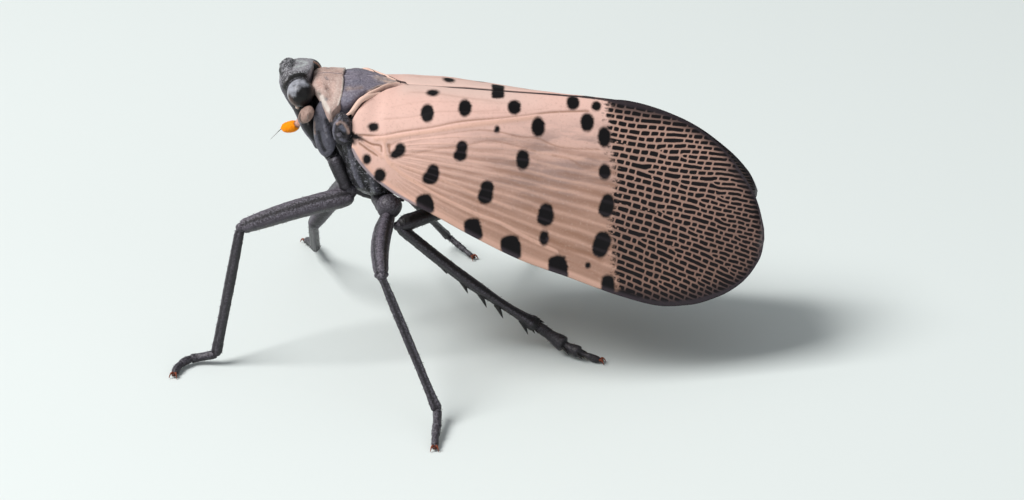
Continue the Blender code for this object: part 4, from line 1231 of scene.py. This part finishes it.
def shieldPart(look):
    # a low parabolic vault across the body, flat below, narrowing to the tip of the scutellum
    start, end = look["slices"][0][0], look["slices"][-1][0]
    x = start + (end - start) * np.linspace(0, 1, look["stations"]) ** look["crowding"]
    half, top, drop = (column[:, None] for column in through(look["slices"], x).T)
    over, under = np.linspace(-1, 1, look["over"]), np.linspace(0.97, -0.97, look["under"])
    y = half * np.append(over, under)
    edge = look["edgeDrop"] * ramp(np.abs(over), look["edgeFrom"], 1.0)
    vault = top - drop * over**2 - edge * np.minimum(half, 1)
    floor = top - drop - look["thickness"] * np.minimum(1, half)
    z = np.concatenate([vault, np.broadcast_to(floor, (len(x), look["under"]))], 1)
    return ringsOf(x[:, None], y, z)


shieldSkin = cuticleFinish("mesonotum", dust=0.40, dustColour=paint(176, 172, 178), dustSteps=(-0.05, 0.20),
                           relief=0.035, cloudScale=5.0)
makePiece("shield", [shellPart(shieldPart(shield), shield, shieldMarks)], shieldSkin,
          ["mesonotum"])
print("mesonotum made")


trunk = {
    # X, half width, top, bottom
    "thorax": [(-6.14, 1.50, 13.30, 11.20), (-5.96, 2.05, 13.46, 10.10), (-5.70, 2.34, 13.48, 9.00),
               (-5.30, 2.48, 13.30, 8.50), (-4.80, 2.54, 12.95, 8.22), (-4.20, 2.56, 12.80, 8.14),
               (-3.60, 2.44, 12.70, 8.24), (-2.80, 2.14, 12.50, 8.56), (-2.05, 1.84, 12.20, 8.80),
               (-1.95, 1.40, 12.0, 9.2)],
    "abdomen": [(-1.90, 1.30, 11.80, 9.20), (-1.76, 1.50, 12.00, 9.00), (-1.00, 1.75, 11.95, 8.86),
                (1.00, 2.00, 11.75, 8.20), (3.00, 1.90, 11.30, 7.62), (5.00, 1.50, 10.60, 7.42),
                (6.60, 0.90, 9.75, 7.55), (7.40, 0.45, 9.20, 7.85), (7.60, 0.20, 8.95, 8.05)],
    "stations": 150, "around": 100, "boxiness": 0.85,
    "base": black, "lumps": (0.22, 0.05, 13), "bellyLumps": (0.2, 0.012, 14),
    "rings": (-1.9, 6.9, 7), "lap": 0.10,  # start and end of the abdomen's rings, how many, and their steps
    # black plates: share of the half width that they reach, and of a ring over which they come in and fade
    "plateReach": 0.62, "deepest": 2.0, "plateFront": (0.04, 0.12), "plateRear": (0.10, 0.26),
    "plateSide": (-0.08, 0.10),
    "yellow": paint(214, 176, 62), "tail": paint(150, 60, 40), "tailAt": (6.5, 7.0),
}
thoraxMarks = [
    ([(-5.6, -2.3, 11.4), (-5.35, -2.35, 10.3), (-5.1, -2.2, 9.3)], 0.15, 0.14, paint(112, 110, 124), 0.8),
    ([(-5.3, -2.3, 11.4), (-5.0, -2.3, 10.2), (-4.7, -2.2, 9.0)], 0.09, -0.22, black, 0.9),
    ([(-4.95, -2.3, 11.2), (-4.6, -2.4, 10.0), (-4.4, -2.3, 9.0)], 0.15, 0.14, paint(96, 94, 106), 0.8),
    ([(-4.5, -2.3, 11.2), (-4.15, -2.4, 10.0), (-4.0, -2.2, 8.8)], 0.09, -0.22, black, 0.9),
    ([(-4.1, -2.3, 11.0), (-3.75, -2.3, 9.8), (-3.6, -2.1, 8.8)], 0.15, 0.12, slate, 0.8),
    ([(-3.5, -2.3, 10.6), (-3.2, -2.2, 9.4)], 0.10, -0.18, black, 0.9),
    ([(-5.5, -1.6, 9.9), (-4.9, -1.9, 9.05), (-3.4, -1.9, 8.8)], 0.07, 0.09, paint(132, 128, 142), 0.8),
    ([(-5.4, -2.0, 9.6), (-4.8, -2.2, 8.95), (-4.3, -2.2, 8.8)], 0.06, -0.12, black, 0.9),
    ([(-5.5, -1.9, 9.2), (-5.36, -1.95, 9.0)], 0.05, 0.04, bone, 0.8),
    ([(-5.10, -2.15, 8.98)], 0.05, 0.04, bone, 0.8),
    ([(-4.85, -2.2, 8.92), (-4.7, -2.2, 8.9)], 0.04, 0.03, bone, 0.7),
]


def trunkPart(look, key):
    # upright ovals across the body, boxed a little, at even travel from front to back
    x, half, top, bottom = atDistances(look[key], look["stations"]).T[:, :, None]
    across, up = (squared(c, look["boxiness"]) for c in circle(look["around"]))
    return ringsOf(x, half * across, (top + bottom) / 2 + (top - bottom) / 2 * up)


def abdomenPart(look):
    # each ring swells towards its rear edge and steps down to the next; black plates with pale edges
    part = tinted(trunkPart(look, "abdomen"), look["yellow"])
    start, end, count = look["rings"]
    points = part["points"]
    place = (points[:, 0] - start) / (end - start) * count
    share = place - np.floor(place)
    inside = (place > 0) & (place < count)
    lift = look["lap"] * (share ** 1.5 - 0.5) * inside
    outwards = np.abs(points[:, 1]) / look["deepest"]
    plate = ramp(share, *look["plateFront"]) * ramp(1 - share, *look["plateRear"]) * inside
    plate = plate * ramp(look["plateReach"] - outwards, *look["plateSide"])
    for colour, cover in ((black, plate), (look["tail"], ramp(points[:, 0], *look["tailAt"]))):
        part["tint"] += (colour - part["tint"]) * cover[:, None]
    part["points"] = points + lift[:, None] * normalsOf(part)
    return part


waxedSkin = cuticleFinish("waxed cuticle", rough=0.38, dust=0.8, dustSteps=(0.07, 0.13), facing=(-1.3, -0.7),
                          clean=(-1.0, -0.5), relief=0.08, coat=0.25, speckScale=7.0,
                          dustColour=paint(172, 170, 182))
makePiece("trunk", [shellPart(trunkPart(trunk, "thorax"), trunk, thoraxMarks)], waxedSkin,
          ["thorax"])
bellySkin = cuticleFinish("abdomen", rough=0.45, dust=0.25, coat=0.15, clouds=0.4,
                          dustColour=paint(220, 214, 200))
belly = roughened(abdomenPart(trunk), *trunk["bellyLumps"])
makePiece("belly", [belly], bellySkin, ["abdomen"])
print("trunk made")


underwing = {
    "x": (-2.5, 11.2), "span": (0.26, 0.80),  # stretch of X, and of the way across the forewing's section
    "depth": 0.90, "thickness": 0.08, "clear": 0.14, "stations": 130, "points": 60,
    "folds": 9, "foldHeight": 0.10,
    "red": paint(176, 44, 36), "white": paint(216, 206, 196),
    "whiteFrom": (0.52, 0.56), "blackFrom": (0.70, 0.74),
    "dotScale": 0.9, "dotEdge": (0.42, 0.36), "dotsTo": (0.50, 0.46),
    "veins": 14.0, "veinEdge": (0.10, 0.02), "veinTint": (0.5, 0.42, 0.4), "veinShare": 0.7, "relief": 0.03,
    "rough": 0.45,
}


def underwingPart(look):
    # the forewing's section, moved in along its normal and waved into long folds
    x = np.linspace(*look["x"], look["stations"])
    grid = wingSections(wing, x, np.linspace(*look["span"], look["points"]))
    outwards = upwardNormals(grid)
    across = np.linspace(0, 1, look["points"])[None, :]
    along = ((x - x[0]) / (x[-1] - x[0]))[:, None]
    swell = np.sqrt(np.clip(along * (1.02 - along) * 4, 0, 1))
    folds = look["foldHeight"] * np.sin(across * look["folds"] * math.pi + 2 * along) * swell
    face = grid + (folds - look["depth"])[..., None] * outwards
    face[..., 1] = np.maximum(face[..., 1], look["clear"])
    back = face - look["thickness"] * outwards
    back[..., 1] = np.maximum(back[..., 1], look["clear"] - 0.01)
    return sheetPart(face, back, {"plan": np.stack(np.broadcast_arrays(along, across, 0.0), 2)})


def underwingFinish(look):
    # red base with black spots, a white wedge, then a black tip
    board = Board("underwing")
    along, across, _ = board.split(board.attribute("plan"))
    where = board.place()
    wobble = board.noise(where, 1.4, 3) - 0.5
    colour = board.mix(look["red"], look["white"], board.step(along + wobble * 0.25, *look["whiteFrom"]))
    colour = board.mix(colour, black, board.step(along + wobble * 0.3, *look["blackFrom"]))
    dots = board.node("ShaderNodeTexVoronoi", (), {"Vector": where, "Scale": look["dotScale"]})
    dotted = board.step(dots, *look["dotEdge"]) * board.step(along, *look["dotsTo"])
    colour = board.mix(colour, black, dotted)
    veins = ((across * look["veins"] + wobble * 0.5).maths("FRACT") - 0.5).maths("ABSOLUTE")
    drawn = board.step(veins, *look["veinEdge"]) * look["veinShare"]
    colour = board.mix(colour, look["veinTint"], drawn, "MULTIPLY")
    normal = board.raised(board.step(veins, 0.12, 0.0), look["relief"])
    return board.surface(colour, Roughness=look["rough"], Normal=normal)


underwingSkin = underwingFinish(underwing)
for name, side in sides.items():
    makePiece(f"underwing_{name}", [onSide(underwingPart(underwing), side)], underwingSkin,
              [f"hindwing_{name}"])
print("hindwings made")


# legs: trochanter, knee, ankle, then points of the foot out to the claws, all with |Y|
legs = {
    ("fore", "left"): [(-5.66, 1.52, 8.50), (-11.00, 3.00, 7.47), (-12.46, 3.10, 0.55),
                       (-13.39, 3.00, 0.36), (-13.94, 3.29, 0.32), (-14.29, 3.84, 0.26),
                       (-14.42, 4.43, 0.17)],
    ("fore", "right"): [(-5.66, 1.36, 8.30), (-7.95, 4.30, 4.30), (-8.20, 9.10, 0.76),
                        (-8.36, 9.96, 0.62), (-8.56, 10.60, 0.46), (-8.86, 11.22, 0.17)],
    ("mid", "left"): [(-3.80, 2.64, 7.90), (-3.98, 7.00, 6.72), (-1.30, 9.38, 0.70),
                      (-1.32, 10.27, 0.50), (-1.38, 11.22, 0.36), (-1.40, 11.96, 0.17)],
    ("mid", "right"): [(-3.80, 2.64, 7.90), (-4.00, 6.70, 5.72), (-1.15, 10.60, 0.70),
                       (-0.72, 10.15, 0.52), (-0.36, 9.76, 0.38), (0.14, 9.22, 0.17)],
    ("hind", "left"): [(-0.36, 1.46, 8.06), (-3.32, 2.84, 7.48), (3.50, 1.60, 1.44),
                       (4.90, 2.22, 0.66), (5.64, 2.65, 0.46), (6.63, 2.96, 0.17)],
    ("hind", "right"): [(-0.36, 1.46, 8.06), (-1.70, 4.00, 7.80), (3.00, 8.80, 1.16),
                        (3.96, 9.40, 0.66), (4.62, 9.78, 0.44), (5.40, 10.22, 0.17)],
}
legLook = {
    "coxa": {"fore": [(-6.46, 1.66, 10.70), (-5.84, 1.56, 8.92)],
             "mid": [(-4.34, 0.90, 8.30), (-3.84, 2.20, 8.16)],
             "hind": [(-1.74, 0.80, 8.30), (-0.70, 1.16, 8.10)]},
    # share of the length and radius
    "coxaShape": {
        "fore": [(0, 0.20), (0.06, 0.32), (0.3, 0.38), (0.8, 0.34), (0.95, 0.30), (1, 0.16)],
        "mid": [(0, 0.30), (0.1, 0.42), (0.5, 0.48), (0.85, 0.46), (1, 0.24)],
        "hind": [(0, 0.22), (0.08, 0.38), (0.6, 0.42), (0.9, 0.36), (1, 0.2)]},
    "femurShape": {
        "fore": [(0, 0.20), (0.015, 0.34), (0.06, 0.45), (0.3, 0.49), (0.6, 0.47), (0.82, 0.42), (0.93, 0.37),
                 (0.975, 0.33), (1, 0.18)],
        "mid": [(0, 0.20), (0.02, 0.30), (0.1, 0.37), (0.3, 0.44), (0.55, 0.43), (0.8, 0.37), (0.92, 0.33),
                (0.94, 0.29), (0.975, 0.33), (1, 0.18)],
        "hind": [(0, 0.20), (0.03, 0.36), (0.2, 0.42), (0.7, 0.40), (0.94, 0.36), (1, 0.20)]},
    "tibiaShape": {
        "fore": [(0, 0.12), (0.02, 0.19), (0.06, 0.22), (0.12, 0.23), (0.4, 0.245), (0.85, 0.24),
                 (0.97, 0.26), (1, 0.16)],
        "mid": [(0, 0.12), (0.02, 0.20), (0.06, 0.20), (0.1, 0.22), (0.4, 0.235), (0.88, 0.24), (0.97, 0.28),
                (1, 0.16)],
        "hind": [(0, 0.16), (0.03, 0.26), (0.1, 0.27), (0.5, 0.285), (0.93, 0.30), (0.955, 0.36),
                 (0.985, 0.36), (1, 0.22)]},
    "footShape": {
        "fore": [(0, 0.18), (0.06, 0.22), (0.3, 0.21), (0.44, 0.225), (0.46, 0.18), (0.5, 0.205),
                 (0.66, 0.21), (0.68, 0.17), (0.72, 0.19), (0.92, 0.18), (1, 0.09)],
        "mid": [(0, 0.17), (0.06, 0.21), (0.3, 0.20), (0.44, 0.22), (0.46, 0.18), (0.5, 0.20), (0.66, 0.21),
                (0.68, 0.16), (0.75, 0.17), (0.92, 0.18), (1, 0.10)],
        "hind": [(0, 0.22), (0.04, 0.26), (0.25, 0.29), (0.42, 0.40), (0.455, 0.36), (0.47, 0.22),
                 (0.52, 0.22), (0.67, 0.32), (0.695, 0.28), (0.71, 0.18), (0.85, 0.17), (0.95, 0.19),
                 (1, 0.11)]},
    "slim": {("mid", "right"): 0.78},  # the radii from the femur down are multiplied by this
    # trochanter: its radius, and how far it lies from midway between the coxa and the femur
    "ball": {"fore": (0.38, (0, 0, 0)), "mid": (0.62, (0.08, 0, 0.30)), "hind": (0.38, (0, 0, 0))},
    "ballFlat": 0.85, "ballLumps": (0.38, 0.05, 22), "lumps": (0.13, 0.012, 21),  # size, height and seed
    "femurBack": 0.12, "footBack": 0.05,  # how far these reach back over the joint before them
    "knee": 0.24, "rearShade": 0.28,
    "bow": {"fore": (0, 0, 0.12), "mid": (-0.22, 0, 0.05), "hind": (0, 0, 0)},
    "tibiaBow": {"fore": (0, 0, 0), "mid": (0, 0, 0), "hind": (0, 0, -0.26)},
    # points round the tube, height of its four ribs, and how much paler they are
    "coxaRibs": (40, 0.0, 0.5), "femurRibs": (36, 0.06, 0.7), "tibiaRibs": (32, 0.08, 0.5),
    "footRibs": (28, 0.03),
    "base": paint(59, 54, 61), "coxaTint": 0.7, "hindFootTint": 0.7,
    # painted shade: the hind femur is darkened as it lies in the shadow under the wing
    "femurTint": {"fore": 1.0, "mid": 1.0, "hind": 0.3},
    "shinTint": {"fore": 0.56, "mid": 0.56, "hind": 0.5},
    # bristles of the femur, tibia and foot: count, length, seed and lean
    "bristles": [(110, 0.08, 31, 0.9), (150, 0.09, 32, 0.9), (60, 0.09, 33, 0.8)], "bristleRadius": 0.011,
}
thornLook = {  # of the hind leg
    # share of the tibia's length at which each thorn stands, and the thorn's length
    "tibia": [(0.34, 0.36), (0.47, 0.68), (0.60, 0.76), (0.72, 0.76), (0.90, 0.80)],
    "tibiaRadius": 0.15, "lean": 0.42, "under": 0.18,
    # how many stand round the end of the tibia, and how far out from and before that end
    "ankle": 6, "ankleLength": 0.34, "ankleRadius": 0.08, "ankleLean": 0.35, "ankleOut": 0.26,
    "ankleBack": 0.14,
    # share of the foot's length, how many thorns, and their length
    "combs": [(0.30, 3, 0.40), (0.44, 6, 0.60), (0.68, 5, 0.42)],
    "combRadius": 0.085, "combLean": 0.40, "combSpan": 1.5, "combOut": 0.20, "combFlat": 0.45,
    "darkReach": 0.28, "darkAt": 0.18,  # the end of the tibia is black
}
hairLook = {
    "stray": 0.35, "sizes": (0.6, 1.2),  # how far the directions and lengths vary
    "sunk": 0.03, "curl": 0.25,  # how deep the roots go, and how far the tips lean over
    "waist": 0.55, "waistWidth": 0.7,  # the middle ring: share of the length and of the width
}
# a thorn's radius is its own times (blunt - share of the length) to the power taper
thornForm = {"stations": 9, "around": 10, "sag": 0.12, "blunt": 1.02, "taper": 0.7}


def limb(start, end, shape, bow=(0, 0, 0), ribs=0.0, stations=70, around=28):
    # rings of changing size along a line that is bowed in the middle
    start, end = np.array(start), np.array(end)
    share = 0.5 - 0.5 * np.cos(np.linspace(0, math.pi, stations))
    path = start + share[:, None] * (end - start) + np.sin(math.pi * share)[:, None] * np.array(bow)
    return tube(path, through(shape, share)[:, 0], around, 1.0, ribs)


def hairs(part, count, length, seed, lean, thick):
    # bristles on random points of a part, leaning over: two rings of three and a tip each
    draw = np.random.default_rng(seed)
    picks = draw.integers(0, len(part["points"]) - 2, count)
    root, out = part["points"][picks], normalsOf(part)[picks]
    lean = lean + hairLook["stray"] * draw.normal(size=(count, 3))
    ahead = units(out + lean)
    side = units(np.cross(ahead, out + 0.3))
    up = np.cross(side, ahead)
    size = length * draw.uniform(*hairLook["sizes"], count)[:, None]
    cosine, sine = circle(3)
    ring = cosine[:, None] * side[:, None] + sine[:, None] * up[:, None]
    low = root[:, None] - hairLook["sunk"] * ahead[:, None] + thick * ring
    high = (root + hairLook["waist"] * size * ahead)[:, None] + hairLook["waistWidth"] * thick * ring
    tip = (root + size * (ahead + hairLook["curl"] * lean))[:, None]
    points = np.concatenate([low, high, tip], 1).reshape(-1, 3)
    first = (np.arange(count) * 7)[:, None]
    quads = np.concatenate([first + (i, (i + 1) % 3, 3 + (i + 1) % 3, 3 + i) for i in range(3)])
    tops = np.concatenate([first + (3 + i, 3 + (i + 1) % 3, 6) for i in range(3)])
    return tinted({"points": points, "faces": [quads, tops, first + (2, 1, 0)]}, soot)


def spine(root, ahead, length, radius):  # a black thorn that sags a little
    steps = np.linspace(0, 1, thornForm["stations"])
    sag = -thornForm["sag"] * length * steps[:, None] ** 2 * np.array([0, 0, 1.0])
    path = root + length * steps[:, None] * unit(ahead) + sag
    radii = radius * (thornForm["blunt"] - steps) ** thornForm["taper"]
    return tinted(tube(path, radii, thornForm["around"]), black)


def striped(part, around, contrast):  # paler along the four ribs of a tube and darker between them
    turn = np.arange(len(part["points"]) - 2) % around * 2 * math.pi / around
    part["tint"] *= np.append(1 + contrast * np.cos(4 * turn), (1, 1))[:, None]


def onFloor(parts):  # nothing reaches below the floor
    for part in parts:
        part["points"][:, 2] = np.maximum(part["points"][:, 2], 0.0)
    return parts


def thornParts(look, knee, ankle, bow, walk):
    # thorns under the tibia, a ring of them at its end, and combs under the foot's joints
    ahead = unit(ankle - knee)
    down = unit(np.cross(np.cross(ahead, (0, 0, -1.0)), ahead))
    parts = []
    for share, length in look["tibia"]:
        root = knee + share * (ankle - knee) + math.sin(math.pi * share) * np.array(bow)
        root = root + look["under"] * down
        parts.append(spine(root, ahead + look["lean"] * down + (0, 0.1, 0), length, look["tibiaRadius"]))
    for turn in np.arange(look["ankle"]) * 2 * math.pi / look["ankle"]:
        out = math.cos(turn) * down + math.sin(turn) * np.cross(ahead, down)
        root = ankle + look["ankleOut"] * out - look["ankleBack"] * ahead
        parts.append(spine(root, ahead + look["ankleLean"] * out, look["ankleLength"], look["ankleRadius"]))
    for share, count, length in look["combs"]:
        place = int(share * (len(walk) - 1))
        on = unit(walk[place + 2] - walk[place - 2])
        side = unit(np.cross(on, (0, 0, 1.0)))
        for turn in np.linspace(-look["combSpan"], look["combSpan"], count):
            out = math.sin(turn) * side - math.cos(turn) * np.array([0, 0, look["combFlat"]])
            root = walk[place] + look["combOut"] * out
            parts.append(spine(root, on + look["combLean"] * out, length, look["combRadius"]))
    return parts


def legParts(kind, hand, points, look):
    # coxa, trochanter, femur, knee, tibia and foot, then bristles, and thorns on the hind leg
    trochanter, knee, ankle, *toes = (np.array(point) for point in points)
    coxa = np.array(look["coxa"][kind])
    size = look["slim"].get((kind, hand), 1.0)
    shapes = {key: np.array(look[key][kind]) * (1, size) for key in ("femurShape", "tibiaShape", "footShape")}
    reach, ahead = unit(knee - trochanter), unit(ankle - knee)
    ball, moved = look["ball"][kind]
    (hipRound, _, hipStripe), (thighRound, thighRib, thighStripe), (shinRound, shinRib, shinStripe) = (
        look[key] for key in ("coxaRibs", "femurRibs", "tibiaRibs"))
    hip = limb(*coxa, look["coxaShape"][kind], around=hipRound)
    femur = limb(trochanter - look["femurBack"] * reach, knee, shapes["femurShape"], look["bow"][kind],
                 thighRib, 90, thighRound)
    tibia = limb(knee, ankle, shapes["tibiaShape"], look["tibiaBow"][kind], shinRib, 100, shinRound)
    walk = bent([ankle - look["footBack"] * ahead, *toes], 90)
    footRound, footRib = look["footRibs"]
    foot = tube(walk, through(shapes["footShape"], np.linspace(0, 1, 90))[:, 0], footRound, 1.0, footRib)
    joint = bead(0.5 * (coxa[1] + trochanter) + moved, (ball, look["ballFlat"] * ball, ball), 30, 40)
    parts = [hip, joint, femur, bead(knee, (look["knee"],) * 3, 20, 28), tibia, foot]
    for part in parts:  # painted shade: a little darker on the side that faces the rear, away from the key lamp, and lighter in front
        tinted(part, look["base"])
        part["tint"] *= 1 - look["rearShade"] * normalsOf(part)[:, :1]
        roughened(part, *look["lumps"])
    roughened(joint, *look["ballLumps"])
    for part, around, stripe in ((hip, hipRound, hipStripe), (femur, thighRound, thighStripe),
                                 (tibia, shinRound, shinStripe)):
        striped(part, around, stripe)
    hip["tint"] *= look["coxaTint"]
    # painted shade on the hind femur, under the wing
    femur["tint"] *= look["femurTint"][kind]
    for part in (tibia, foot):
        part["tint"] *= look["shinTint"][kind]
    along = (reach, ahead, unit(toes[-1] - ankle))
    for part, way, (count, length, seed, lean) in zip((femur, tibia, foot), along, look["bristles"]):
        parts.append(hairs(part, count, length, seed, lean * way, look["bristleRadius"]))
    if kind == "hind":
        end = bump(tibia["points"] @ ahead - ankle @ ahead + thornLook["darkAt"], thornLook["darkReach"])
        tibia["tint"] += (black - tibia["tint"]) * end[:, None]
        foot["tint"] *= look["hindFootTint"]
        parts += thornParts(thornLook, knee, ankle, look["tibiaBow"][kind], walk)
    return onFloor(parts)


clawLook = {
    "hook": 0.26, "hookRadius": 0.062, "spread": (0.06, 0.14),  # how far apart at the root, and how much more
    "blunt": 1.05, "taper": 0.6, "lift": 0.05, "arch": 0.08, "drop": 0.18,  # the hooks rise, then bend down
    "pad": (0.12, 0.12, 0.09), "padAhead": 0.08,
    "hookTint": paint(128, 66, 46), "padTint": paint(74, 44, 38),
}


def clawParts(points, look):
    # two hooks and the pad between them, at the end of the foot
    tip, before = np.array(points[-1]), np.array(points[-2])
    reach = unit((tip - before) * (1, 1, 0))
    side = np.cross(reach, (0, 0, 1.0))
    steps = np.linspace(0, 1, 22)[:, None]
    parts = []
    for hand in sides.values():
        rise = look["arch"] * np.sin(math.pi * steps) - look["drop"] * steps**2
        path = (tip + (0, 0, look["lift"]) + look["hook"] * steps * reach
                + hand * (look["spread"][0] + look["spread"][1] * steps) * side
                + rise * np.array([0, 0, 1.0]))
        radii = look["hookRadius"] * (look["blunt"] - steps[:, 0]) ** look["taper"]
        parts.append(tinted(tube(path, radii, 16), look["hookTint"]))
    parts.append(tinted(bead(tip + look["padAhead"] * reach, look["pad"], 16, 22), look["padTint"]))
    return onFloor(parts)


# on the legs the pale dust also paints the highlight along their tops
legSkin = cuticleFinish("leg", rough=0.40, dust=0.54, dustSteps=(-0.12, 0.20), relief=0.026, coat=0.15,
                        grainScale=34.0, dustColour=paint(150, 146, 158))
clawSkin = cuticleFinish("claw", dust=0.0, relief=0.01, gloss=0.2)
for (kind, hand), points in legs.items():
    replaced = [f"{piece}_{kind}_{hand}" for piece in ("coxa", "femur", "tibia", "tarsus")]
    leg = [onSide(part, sides[hand]) for part in legParts(kind, hand, points, legLook)]
    makePiece(f"leg_{kind}_{hand}", leg, legSkin, replaced)
    claws = [onSide(part, sides[hand]) for part in clawParts(points, clawLook)]
    makePiece(f"claws_{kind}_{hand}", claws, clawSkin)
print("legs made")
